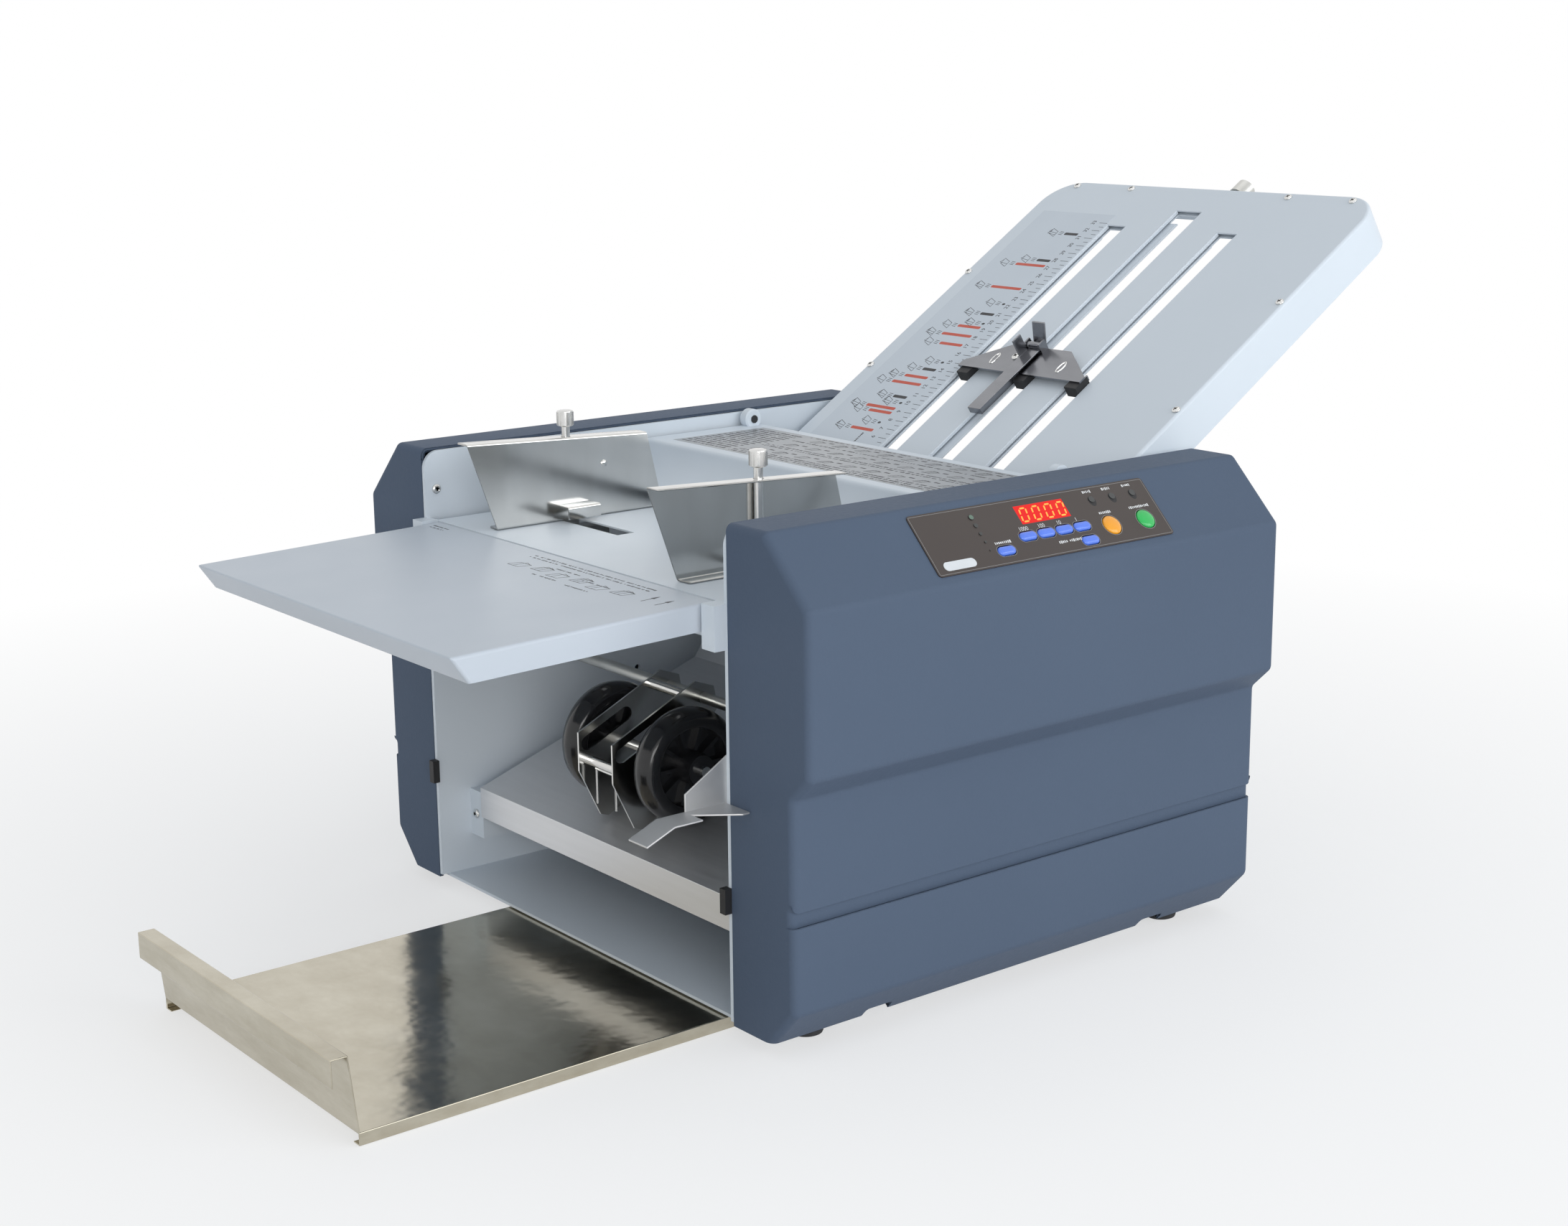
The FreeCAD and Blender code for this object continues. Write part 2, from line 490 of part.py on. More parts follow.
for side in SIDES:
    wall = plate(f"{side}_frame_wall", "xz", [
        ("joint_gap", "base_top"), ("body_length - joint_gap", "base_top"),
        ("body_length - joint_gap", "frame_top"), ("joint_gap", "frame_top")],
        *across(side, "frame_half", "frame_half + frame_sheet"))
    round_edges(wall, "frame_corner", lambda first, second: first.z > size("shoulder_z")
                and abs(first.y - second.y) > size("frame_sheet") / 2)
    lug = block(f"{side}_lug", ("lug_front", "lug_front + lug_length"),
                across(side, "chute_half", "frame_half + overrun / 2"), ("lug_top - lug_height", "lug_top"))
    bracket = block(f"{side}_bracket", ("-bracket_reach", "table_front - joint_gap"),
                    across(side, "bracket_half", "frame_half + overrun / 2"),
                    ("bracket_low", "bracket_low + bracket_height"))
    tray_pin = rod(f"{side}_tray_pin", "y", "hinge_radius",
                   *across(side, "tray_half - tray_sheet - joint_gap", "bracket_half + overrun / 2"),
                   x="hinge_x", z="hinge_z")
    lid_pin = rod(f"{side}_lid_pin", "y", "pin_radius",
                  *across(side, "lid_half - boss_length - joint_gap", "frame_half + overrun / 2"),
                  x="lid_axis_x", z="lid_axis_z")
    through = across(side, "frame_half - overrun", "frame_half + frame_sheet + overrun")
    bores = [rod(f"{side}_bore_{shaft}", "y", "bush_radius", *through, x=x, z=z)
             for shaft, (x, z) in SHAFTS.items()]
    bores += [rod(f"{side}_peep_{i}", "y", "peep_radius", *through,
                  x=f"peep_front + {i} * peep_step", z="peep_z") for i in range(2)]
    if side == "drive":
        bores.append(rod("motor_bore", "y", "motor_hole", *through, x="motor_x", z="motor_z"))
    node(f"{side}_frame",
         cut(f"{side}_frame_cut", fuse(f"{side}_frame_solid", wall, lug, bracket, tray_pin, lid_pin), *bores))

# Hooks on the frames' front edges that the base covers snap to
node("cover_latches", *[
    block(f"{side}_latch", ("joint_gap - latch_length", "joint_gap"),
          across(side, "frame_half - overrun / 2", "frame_half + frame_sheet"),
          ("latch_z", "latch_z + latch_height")) for side in SIDES])

# Screw heads on the frames, the lugs and the deflector
screws = []
for side in SIDES:
    screws.append(rod(f"{side}_corner_screw", "y", "head_radius",
                      *across(side, "frame_half - head_height", "frame_half"),
                      x="frame_screw_x", z="frame_screw_z"))
    screws.append(rod(f"{side}_lug_screw", "x", "head_radius", "lug_front - head_height", "lug_front",
                      y=f"{SIDES[side]} * (chute_half + frame_half) / 2", z="lug_top - lug_height / 2"))
for i in range(2):
    screws.append(rod(f"deflector_screw_{i}", "y", "head_radius", "deflector_sheet - frame_half",
                      "deflector_sheet - frame_half + head_height",
                      x=f"deflector_screw + {i} * deflector_screw", z=f"deflector_screw_z - {i} * overrun"))
node("frame_screws", *screws)

# Cross bars that tie the frames, and the two rails the guides run on
bar_span = ("-frame_half", "frame_half")
node("cross_bars",
     rod("low_bar", "y", "bar_radius", *bar_span, x="low_bar_x", z="low_bar_z"),
     rod("high_bar", "y", "bar_radius", *bar_span, x="low_bar_x", z="high_bar_z"),
     rod("plate_bar", "y", "bar_radius", *bar_span,
         x="scale_zero_x + plate_bar_s * cos(plate_tilt) + (panel_wall + bar_radius) * sin(plate_tilt)",
         z="scale_zero_z + plate_bar_s * sin(plate_tilt) - (panel_wall + bar_radius) * cos(plate_tilt)"),
     rod("front_rail", "y", "rail_radius", *bar_span, x="rail_front", z="rail_z"),
     rod("rear_rail", "y", "rail_radius", *bar_span, x="rail_front + rail_step", z="rail_z"))

# Feed table: a hat section between the frames, slotted for the guides and the separator pad
hat = plate("table_hat", "yz", [
    ("-frame_half", "table_top - table_skirt"), ("table_sheet - table_half", "table_top - table_skirt"),
    ("table_sheet - table_half", "table_top - table_sheet"),
    ("table_half - table_sheet", "table_top - table_sheet"),
    ("table_half - table_sheet", "table_top - table_skirt"), ("frame_half", "table_top - table_skirt"),
    ("frame_half", "table_top - table_skirt + table_sheet"),
    ("table_half", "table_top - table_skirt + table_sheet"), ("table_half", "table_top"),
    ("-table_half", "table_top"), ("-table_half", "table_top - table_skirt + table_sheet"),
    ("-frame_half", "table_top - table_skirt + table_sheet")], "table_front", "table_end")
apron = block("table_apron", ("table_front", "table_front + table_sheet"), ("-table_half", "table_half"),
              ("table_top - table_skirt", "table_top"))
table_depth = ("table_top - overrun", "table_top + overrun")
table_cuts = [block(f"{side}_post_slot", ("post_x - post_slot_half", "post_x + post_slot_half"),
                    across(side, "post_slot_inner", "post_slot_outer"), table_depth) for side in SIDES]
table_cuts.append(block("pad_opening", ("feed_x - pad_length / 2 - pad_gap",
                                        "feed_x + pad_length / 2 + pad_gap"),
                        ("-pad_half - pad_gap", "pad_half + pad_gap"), table_depth))
table_cuts += [rod(f"table_rail_hole_{i}", "y", "rail_radius", *bar_span, x=f"rail_front + {i} * rail_step",
                   z="rail_z") for i in range(2)]
table_cuts.append(rod("table_feed_clear", "y", "feed_radius + pad_gap", "-feed_half - pad_gap",
                      "feed_half + pad_gap", x="feed_x", z="feed_z"))
node("feed_table", cut("table_cut", fuse("table_solid", hat, apron), *table_cuts))
node("separator_pad",
     block("pad_block", ("feed_x - pad_length / 2", "feed_x + pad_length / 2"), ("-pad_half", "pad_half"),
           ("table_top - pad_drop", "feed_z - feed_radius - pad_gap")))

# Feed tray: a shallow folded pan, its front edge raked back, hinged in the table's brackets
tray = plate("tray_blank", "xz", [
    ("-tray_length", "0"), ("tray_bevel - tray_length", "-tray_lip"), ("0", "-tray_lip"), ("0", "0")],
    "-tray_half", "tray_half")
tray_hollow = plate("tray_hollow", "xz", [
    ("(1 + bevel_share) * tray_sheet - tray_length", "-tray_sheet"),
    ("(1 + bevel_share) * tray_sheet + tray_bevel * (1 + overrun / tray_lip) - tray_length",
     "-tray_lip - overrun"),
    ("overrun", "-tray_lip - overrun"), ("overrun", "-tray_sheet")],
    "tray_sheet - tray_half", "tray_half - tray_sheet")
tray_bore = rod("tray_bore", "y", "hinge_radius + running_gap", "-tray_half - overrun", "tray_half + overrun",
                x="-hinge_back", z="-hinge_drop")
tray_pan = cut("tray_pan", tray, tray_hollow, tray_bore)
turn(tray_pan, "y", "-tray_dip")
put(tray_pan, "tray_rear_x", "0", "tray_rear_z")
node("feed_tray", tray_pan)

# Side guides: an upright plate, a foot on the table, and a slider on the rails below it
for side in SIDES:
    face = across(side, "guide_half", "guide_half + guide_sheet")
    wing = across(side, "guide_half", "guide_half + guide_flange")
    upright = plate(f"{side}_upright", "xz", [
        ("guide_front_low", "guide_low"), ("guide_rear_low", "guide_low"),
        ("guide_rear_top", "guide_rear_z"), ("guide_front_top", "guide_front_z")], *face)
    brim = plate(f"{side}_brim", "xz", [
        ("guide_front_top", "guide_front_z"), ("guide_front_top", "guide_front_z - guide_sheet"),
        ("guide_rear_top", "guide_rear_z - guide_sheet"), ("guide_rear_top", "guide_rear_z")], *wing)
    foot = block(f"{side}_guide_foot", ("guide_front_low + guide_sheet", "guide_rear_low"), wing,
                 ("guide_low", "guide_low + guide_sheet"))
    neck = block(f"{side}_neck", ("post_x - neck_half", "post_x + neck_half"),
                 across(side, "post_y - neck_side", "post_y + neck_side"),
                 ("rail_z", "guide_low + guide_sheet"))
    slider = block(f"{side}_slider", ("post_x - slider_length / 2", "post_x + slider_length / 2"),
                   across(side, "post_y - slider_width / 2", "post_y + slider_width / 2"),
                   ("rail_z - slider_height / 2", "rail_z + slider_height / 2"))
    clip = block(f"{side}_clip", ("clip_front", "clip_front + clip_length"),
                 across(side, "guide_half - clip_reach", "guide_half + guide_sheet / 2"),
                 ("guide_low + clip_lift", "guide_low + clip_lift + clip_sheet"))
    clip_lip = block(f"{side}_clip_lip", ("clip_front", "clip_front + clip_length"),
                     across(side, "guide_half - clip_reach", "guide_half - clip_reach + clip_sheet"),
                     ("guide_low + clip_lift - clip_turn", "guide_low + clip_lift + clip_sheet"))
    rivet = rod(f"{side}_rivet", "y", "rivet_radius",
                *across(side, "guide_half - rivet_height", "guide_half"),
                x="rivet_x", z="rivet_z")
    y = f"{SIDES[side]} * post_y"
    holes = [rod(f"{side}_post_bore", "z", "post_radius + running_gap", "rail_z - slider_height",
                 "guide_low + overrun", "post_x", y),
             rod(f"{side}_brim_hole", "z", "post_radius + joint_gap", "guide_rear_z - overrun",
                 "guide_front_z + overrun", "post_x", y)]
    holes += [rod(f"{side}_slide_bore_{i}", "y", "rail_radius + running_gap", *bar_span,
                  x=f"rail_front + {i} * rail_step", z="rail_z") for i in range(2)]
    node(f"{side}_guide", cut(f"{side}_guide_cut", fuse(
        f"{side}_guide_solid", upright, brim, foot, neck, slider, clip, clip_lip, rivet), *holes))
    node(f"{side}_guide_knob", lathe(f"{side}_knob", "z", [
        ("0", "post_foot_z"), ("post_radius", "post_foot_z"), ("post_radius", "knob_low"),
        ("knob_radius - knob_flank", "knob_low"), ("knob_radius", "knob_low + knob_flank"),
        ("knob_radius", "knob_low + knob_height - knob_dome"),
        ("knob_radius - knob_dome", "knob_low + knob_height"), ("0", "knob_low + knob_height")],
        "post_x", y))

# Rollers: each turned in one piece with its journals and the wheels that drive it


def roller(name, x, z, radius, half, *wheels):
    """A roller on a shaft from bush to bush; each wheel is a radius, a near face and a width."""
    outer = "frame_half + frame_sheet + shaft_stub"
    points = [("0", f"-({outer})"), ("shaft_radius", f"-({outer})"), ("shaft_radius", f"-({half})"),
              (radius, f"-({half})"), (radius, half), ("shaft_radius", half)]
    end = outer
    for wheel_size, near, width in wheels:
        points += [("shaft_radius", near), (wheel_size, near), (wheel_size, f"{near} + {width}"),
                   ("shaft_radius", f"{near} + {width}")]
        end = f"{near} + {width} + shaft_stub"
    node(name, lathe(f"{name}_turned", "y", points + [("shaft_radius", end), ("0", end)], x, "0", z))


gear = ("pitch / 2 - gear_relief", "gear_y", "gear_width")
lead = ("lead_pulley", "lead_y", "lead_width")
roller("feed_roller", "feed_x", "feed_z", "feed_radius", "feed_half", lead)
roller("fold_roller_1", "roller_1_x", "roller_1_z", "roller_radius", "roller_half", gear, lead)
roller("fold_roller_2", "roller_2_x", "roller_2_z", "roller_radius", "roller_half", gear,
       ("roller_pulley", "pulley_y", "pulley_width"))
roller("fold_roller_3", "roller_3_x", "roller_3_z", "roller_radius", "roller_half", gear)
roller("fold_roller_4", "roller_4_x", "roller_4_z", "roller_radius", "roller_half", gear)
bushes = []
for shaft, (x, z) in SHAFTS.items():
    for side, sign in SIDES.items():
        bushes.append(lathe(f"{side}_bush_{shaft}", "y", [
            (r, f"{sign} * ({y})") for r, y in (
                ("shaft_radius + running_gap", "frame_half - bush_lip"),
                ("bush_flange", "frame_half - bush_lip"), ("bush_flange", "frame_half"),
                ("bush_radius", "frame_half"), ("bush_radius", "frame_half + frame_sheet"),
                ("shaft_radius + running_gap", "frame_half + frame_sheet"))], x, "0", z))
node("roller_bushes", *bushes)

# Motor on the drive frame, its pulley, and the two belts
motor_can = rod("motor_can", "y", "motor_radius", "frame_half - motor_length", "frame_half - motor_flange",
                x="motor_x", z="motor_z")
motor_plate = block("motor_plate", ("motor_x - motor_square", "motor_x + motor_square"),
                    ("frame_half - motor_flange", "frame_half"),
                    ("motor_z - motor_square", "motor_z + motor_square"))
motor_bore = rod("motor_shaft_bore", "y", "motor_shaft + running_gap", "frame_half - motor_hole",
                 "frame_half",
                 x="motor_x", z="motor_z")
node("motor_body", cut("motor_cut", fuse("motor_solid", motor_can, motor_plate), motor_bore))
node("motor_pulley", lathe("motor_turned", "y", [
    ("0", "frame_half - motor_hole + joint_gap"), ("motor_shaft", "frame_half - motor_hole + joint_gap"),
    ("motor_shaft", "pulley_y"), ("motor_pulley_radius", "pulley_y"),
    ("motor_pulley_radius", "pulley_y + pulley_width"), ("0", "pulley_y + pulley_width")],
    "motor_x", "0", "motor_z"))


def belt(name, turn_name, first, second, near, width):
    """A closed loop round two pulleys, each a radius and its x and z."""
    solids = {}
    for layer, extra in (("outer", "belt_gap + belt_sheet"), ("inner", "belt_gap")):
        low, high = (near, f"{near} + {width}") if layer == "outer" else (
            f"{near} - overrun", f"{near} + {width} + overrun")
        corners = []
        for (radius, x, z), sign in ((first, "+"), (second, "+"), (second, "-"), (first, "-")):
            angle = f"{turn_name}_turn {sign} {turn_name}_spread"
            corners.append((f"{x} + ({radius} + {extra}) * cos({angle})",
                            f"{z} + ({radius} + {extra}) * sin({angle})"))
        solids[layer] = fuse(
            f"{name}_{layer}", plate(f"{name}_{layer}_band", "xz", corners, low, high),
            *[rod(f"{name}_{layer}_{i}", "y", f"{radius} + {extra}", low, high, x=x, z=z)
              for i, (radius, x, z) in enumerate((first, second))])
    return cut(name, solids["outer"], solids["inner"])


node("drive_belts",
     belt("main_belt", "main", ("motor_pulley_radius", "motor_x", "motor_z"),
          ("roller_pulley", "roller_2_x", "roller_2_z"), "pulley_y", "pulley_width"),
     belt("feed_belt", "feed", ("lead_pulley", "feed_x", "feed_z"),
          ("lead_pulley", "roller_1_x", "roller_1_z"), "lead_y", "lead_width"))

# Fold plate panel: a tray turned upside down, slotted for the stop, laid along its scale
panel = plate("panel_blank", "xy", [
    ("panel_start", "-panel_half"), ("panel_end", "-panel_half"), ("panel_end", "panel_half"),
    ("panel_start", "panel_half")], "-panel_wall", "0")
round_edges(panel, "panel_corner", lambda first, second: abs(first.z - second.z) > size("overrun")
            and first.x > size("slot_end"))
round_edges(panel, "panel_edge", lambda first, second: min(first.z,
                                                           second.z) > size("panel_wall") - size("joint_gap")
            and max(first.x, second.x) > size("slot_end"))
inner_panel = plate("panel_hollow", "xy", [
    ("panel_start - overrun", "panel_sheet - panel_half"),
    ("panel_end - panel_sheet", "panel_sheet - panel_half"),
    ("panel_end - panel_sheet", "panel_half - panel_sheet"),
    ("panel_start - overrun", "panel_half - panel_sheet")],
    "-panel_wall - overrun", "-panel_sheet")
round_edges(inner_panel, "panel_corner - panel_sheet", lambda first,
            second: abs(first.z - second.z) > size("overrun")
            and first.x > size("slot_end"))
SLOTS = dict(drive=("drive_slot", "slot_end", "slot_width"),
             middle=("middle_slot", "middle_slot_end", "middle_width"),
             operator=("operator_slot", "slot_end", "slot_width"))
slots = [block(f"{name}_slot_cut", ("slot_start", end), (y, f"{y} + {wide}"), ("-overrun", "overrun"))
         for name, (y, end, wide) in SLOTS.items()]
knob_hole = rod("plate_knob_hole", "x", "plate_knob_neck + running_gap", "panel_end - overrun",
                "panel_end + overrun",
                y="plate_knob_y", z="-plate_knob_radius - panel_edge")
fold_panel = cut("fold_panel_cut", panel, inner_panel, knob_hole, *slots)
on_plate(fold_panel)
node("fold_plate_panel", fold_panel)
fold_back = block("fold_back", ("panel_start", "panel_end - panel_sheet - overrun"),
                  ("panel_sheet - panel_half", "panel_half - panel_sheet"),
                  ("back_top - panel_sheet", "back_top"))
back_cuts = [block(f"fold_back_corner_{i}", ("panel_end - panel_corner", "panel_end"),
                   across(side, "panel_half - panel_corner", "panel_half"), ("-panel_wall", "0"))
             for i, side in enumerate(SIDES)]
back_cuts += [block(f"{name}_back_slot", ("slot_start", end), (y, f"{y} + back_slot_width"),
                    ("-panel_wall", "0")) for name, (y, end, wide) in SLOTS.items()]
back_cuts.append(block("middle_back_end", ("middle_slot_end - lip_end", "middle_slot_end"),
                       ("middle_slot", "middle_slot + middle_width"), ("-panel_wall", "0")))
fold_backs = cut("fold_back_cut", fold_back, *back_cuts)
on_plate(fold_backs)
node("fold_plate_back", fold_backs)
plate_screw_places = [(f"panel_end - panel_edge - {inset}", f"{sign} * panel_half * {share}")
                      for sign, inset in (("-1", "screw_edge"), ("1", "screw_edge"))
                      for share in ("screw_wide_share", "screw_near_share")]
plate_screw_places += [(f"{place}", f"{sign} * (panel_half - screw_edge)")
                       for sign in ("-1", "1") for place in ("screw_low_s", "screw_high_s")]
plate_screws = fuse("plate_screw_heads", *[
    rod(f"plate_screw_{i}", "z", "head_radius - joint_gap", "0", "head_height - joint_gap", s, y)
    for i, (s, y) in enumerate(plate_screw_places)])
on_plate(plate_screws)
node("plate_screws", plate_screws)
plate_knob = fuse("plate_knob",
                  rod("plate_knob_stem", "x", "plate_knob_neck", "panel_end - overrun",
                      "panel_end + 2 * plate_knob_neck",
                      y="plate_knob_y", z="-plate_knob_radius - panel_edge"),
                  rod("plate_knob_head", "x", "plate_knob_radius", "panel_end + plate_knob_neck",
                      "panel_end + plate_knob_neck + plate_knob_length",
                      y="plate_knob_y", z="-plate_knob_radius - panel_edge"))
on_plate(plate_knob)
node("fold_plate_knob", plate_knob)

# Fold stop: a winged plate over the slots on three shoes, with a lever hinged on it
wing_plate = plate("stop_wing_plate", "xy", [
    ("stop_front", "stop_centre - stop_wing"), ("stop_front + stop_tip", "stop_centre - stop_wing"),
    ("stop_back", "stop_centre - stop_wing * stop_back_share"),
    ("stop_back", "stop_centre + stop_wing * stop_back_share"),
    ("stop_front + stop_tip", "stop_centre + stop_wing"), ("stop_front", "stop_centre + stop_wing")],
    "stop_lift", "stop_lift + stop_sheet")
ears = [block(f"stop_ear_{i}", ("lever_pivot - lever_ear", "lever_pivot + lever_ear"), stretch,
              ("stop_lift", "lever_axis + lever_ear"))
        for i, stretch in enumerate((
            ("lever_centre - lever_width / 2 - joint_gap - stop_sheet",
             "lever_centre - lever_width / 2 - joint_gap"),
            ("lever_centre + lever_width / 2 + joint_gap",
             "lever_centre + lever_width / 2 + joint_gap + stop_sheet")))]
lever_pin = rod("lever_pin", "y", "lever_pin_radius", "lever_centre - lever_width / 2 - joint_gap",
                "lever_centre + lever_width / 2 + joint_gap", x="lever_pivot", z="lever_axis")
stop_screws = [rod(f"stop_screw_{i}", "z", "head_radius - joint_gap", "stop_lift + stop_sheet",
                   "stop_lift + stop_sheet + head_height", f"stop_back - {place}",
                   "lever_centre + lever_width / 2 + joint_gap + stop_sheet + head_radius")
               for i, place in enumerate(("screw_edge", "stop_tip + screw_edge + lever_ear"))]
stop = fuse("stop_solid", wing_plate, *ears, lever_pin, *stop_screws)
on_plate(stop)
node("fold_stop", stop)
shoes = fuse("stop_shoe_set", *[
    plate(f"{name}_shoe", "xz", [
        ("shoe_front", "stop_lift"), ("shoe_front", "shoe_chamfer + stop_lift - shoe_depth"),
        ("shoe_front + shoe_chamfer", "stop_lift - shoe_depth"),
        ("shoe_front + shoe_length", "stop_lift - shoe_depth"), ("shoe_front + shoe_length", "stop_lift")],
        f"{y} + shoe_gap", f"{y} + shoe_gap + shoe_width") for name, (y, end, wide) in SLOTS.items()])
on_plate(shoes)
node("stop_shoes", shoes)
lever_y = ("lever_centre - lever_width / 2", "lever_centre + lever_width / 2")
lever = fuse(
    "lever_solid",
    block("lever_strap", ("lever_front", "lever_end"), lever_y, ("lever_low", "lever_low + lever_sheet")),
    block("lever_lip", ("lever_front", "lever_front + lever_sheet"), lever_y,
          ("lever_low - lever_rise", "lever_low + lever_sheet")),
    block("lever_side", ("lever_front", "shoe_front - overrun / 2"),
          ("lever_centre - lever_width / 2", "lever_centre - lever_width / 2 + lever_sheet"),
          ("lever_low - lever_rise", "lever_low + lever_sheet")),
    block("lever_thumb", ("thumb_from", "thumb_from + thumb_length"),
          ("lever_centre + lever_width / 2 - lever_sheet", "lever_centre + lever_width / 2"),
          ("lever_low", "lever_low + thumb_height")),
    plate("lever_end_tab", "xz", [
        ("lever_end - lever_sheet", "lever_low"), ("lever_end", "lever_low"),
        ("lever_end + lever_tab", "lever_low + thumb_height"),
        ("lever_end + lever_tab - lever_sheet", "lever_low + thumb_height")], *lever_y),
    rod("lever_barrel", "y", "lever_barrel_radius", *lever_y, x="lever_pivot", z="lever_axis"))
lever_cut = cut("lever_cut", lever, rod("lever_bore", "y", "lever_pin_radius + running_gap", "-stop_wing",
                                        "stop_wing",
                                        x="lever_pivot", z="lever_axis"))
on_plate(lever_cut)
node("stop_lever", lever_cut)

# Lower fold plate: two upright sheets on side spacers, and the stop bar that reaches between them
lower_z = ("lower_floor", "lower_top")
finger_slots = [block(f"{side}_finger_slot", ("lower_front + panel_sheet + joint_gap",
                                              "lower_rear + overrun"),
                      across(side, "finger_y - finger_slot / 2", "finger_y + finger_slot / 2"),
                      ("finger_low", "finger_high")) for side in SIDES]
lower_parts = [block("lower_front_sheet", ("lower_front", "lower_front + panel_sheet"),
                     ("-lower_half", "lower_half"), lower_z),
               block("lower_floor_strip", ("lower_front", "lower_rear"), ("-lower_half", "lower_half"),
                     ("lower_floor", "lower_floor + panel_sheet"))]
for side in SIDES:
    lower_parts.append(block(f"{side}_lower_spacer", ("lower_front", "lower_rear"),
                             across(side, "lower_inner", "lower_half"), lower_z))
    for i, place in enumerate(("finger_low", "lower_tab_z")):
        lower_parts.append(block(f"{side}_lower_tab_{i}", ("lower_front", "lower_rear"),
                                 across(side, "lower_half - overrun / 2", "frame_half"),
                                 (place, f"{place} + lower_stop_height")))
lower_rear_sheet = cut("lower_rear_sheet",
                       block("lower_rear_blank", ("lower_rear - panel_sheet", "lower_rear"),
                             ("-lower_half", "lower_half"), lower_z), *finger_slots)
node("lower_fold_plate", fuse("lower_plate_solid", *lower_parts, lower_rear_sheet))
lower_stop_z = ("lower_stop_z - lower_stop_height / 2", "lower_stop_z + lower_stop_height / 2")
node("lower_stop", fuse(
    "lower_stop_solid",
    block("lower_stop_bar", ("lower_rear + joint_gap", "lower_rear + joint_gap + stop_sheet"),
          ("-lower_stop_half", "lower_stop_half"), lower_stop_z),
    *[block(f"{side}_finger", ("lower_front + panel_sheet + 2 * joint_gap", "lower_rear + 2 * joint_gap"),
            across(side, "finger_y - finger_width / 2", "finger_y + finger_width / 2"), lower_stop_z)
      for side in SIDES],
    rod("lower_stop_knob", "x", "lower_knob_radius", "lower_rear + joint_gap",
        "lower_rear + joint_gap + lower_knob_length", z="lower_stop_z")))

# Top cover: flat over the rollers, coved down to the feed slot, on two pivot bosses
lid_span = ("-lid_half", "lid_half")
lid_block = block("lid_block", ("lid_front - cove_reach", "lid_rear"), lid_span,
                  ("lid_top - cove_reach - lid_sheet", "lid_top"))
cove = dict(x="lid_front - cove_reach", z="lid_top")
lid_under = cut("lid_under",
                block("lid_under_block", ("lid_front - cove_reach - overrun", "lid_rear + overrun"),
                      ("-lid_half - overrun", "lid_half + overrun"),
                      ("lid_top - 2 * cove_reach", "lid_top - lid_sheet")),
                rod("lid_under_cove", "y", "cove_reach + lid_sheet", "-lid_half - 2 * overrun",
                    "lid_half + 2 * overrun", **cove))
lid_shell = cut("lid_shell", lid_block, lid_under,
                rod("lid_cove", "y", "cove_reach", "-lid_half - overrun", "lid_half + overrun", **cove))
lid = fuse("lid_solid", lid_shell, *[
    rod(f"{side}_boss", "y", "boss_radius", *across(side, "lid_half - boss_length", "lid_half"),
        x="lid_axis_x", z="lid_axis_z") for side in SIDES])
node("top_cover", cut("lid_cut", lid, rod("lid_bore", "y", "pin_radius + running_gap", "-frame_half",
                                          "frame_half",
                                          x="lid_axis_x", z="lid_axis_z")))

# Exit chute under the stacker wheels
chute = plate("chute_sheet_bent", "xz", [
    ("chute_front", "chute_front_z"), ("chute_break", "chute_break_z"), ("chute_end", "chute_end_z"),
    ("chute_end", "chute_end_z - 2 * chute_sheet"), ("chute_break", "chute_break_z - chute_sheet"),
    ("chute_front", "chute_front_z - chute_sheet")], "-chute_half", "chute_half")
chute_skirt = block("chute_skirt", ("chute_front", "chute_front + chute_sheet"),
                    ("-chute_half", "chute_half"),
                    ("chute_front_z - cheek_drop", "chute_front_z - chute_sheet / 2"))
cheeks = [plate(f"{side}_cheek", "xz", [
    ("chute_front", "chute_front_z - chute_sheet / 2"), ("chute_break", "chute_break_z - chute_sheet / 2"),
    ("chute_break", "chute_break_z - cheek_side"), ("chute_front", "chute_front_z - cheek_drop")],
    *across(side, "chute_half - chute_sheet", "chute_half")) for side in SIDES]
node("exit_chute", fuse("chute_solid", chute, chute_skirt, *cheeks))

# Stacker wheels, their shaft, and the two-plate carrier that hangs from a bar
node("carrier_bar", rod("carrier_rod", "y", "carrier_bar_radius", *bar_span, x="carrier_bar_x",
                        z="carrier_bar_z"))
outline = [("nose_x", "nose_mid"), ("nose_x", "nose_top"), ("crown_x", "crown_z"), ("heel_x", "heel_top"),
           ("heel_tip", "heel_low"), ("toe_back", "toe_back_z"), ("toe_mid", "toe_low"),
           ("toe_front", "toe_z")]
carrier_y = dict(operator=("-carrier_half - carrier_sheet", "-carrier_half"),
                 drive=("carrier_half", "carrier_half + carrier_sheet"))
carrier_plates = [plate(f"{side}_carrier_plate", "xz", outline, *stretch) for side,
                  stretch in carrier_y.items()]
inside = ("-carrier_half - carrier_sheet", "carrier_half + carrier_sheet")
spacers = [rod("nose_spacer", "y", "spacer_radius", *inside, x="spacer_x", z="spacer_z"),
           rod("crown_spacer", "y", "spacer_radius", *inside, x="crown_x - spacer_inset",
               z="crown_z - spacer_inset")]
wide = ("-carrier_half - overrun", "carrier_half + overrun")
slot_set = fuse("carrier_slot_set",
                block("carrier_slot_mid", ("-carrier_slot / 2", "carrier_slot / 2"), wide,
                      ("-carrier_slot_half", "carrier_slot_half")),
                rod("carrier_slot_a", "y", "carrier_slot_half", *wide, x="-carrier_slot / 2"),
                rod("carrier_slot_b", "y", "carrier_slot_half", *wide, x="carrier_slot / 2"))
turn(slot_set, "y", "-slot_turn")
put(slot_set, "carrier_slot_x", "0", "carrier_slot_z")
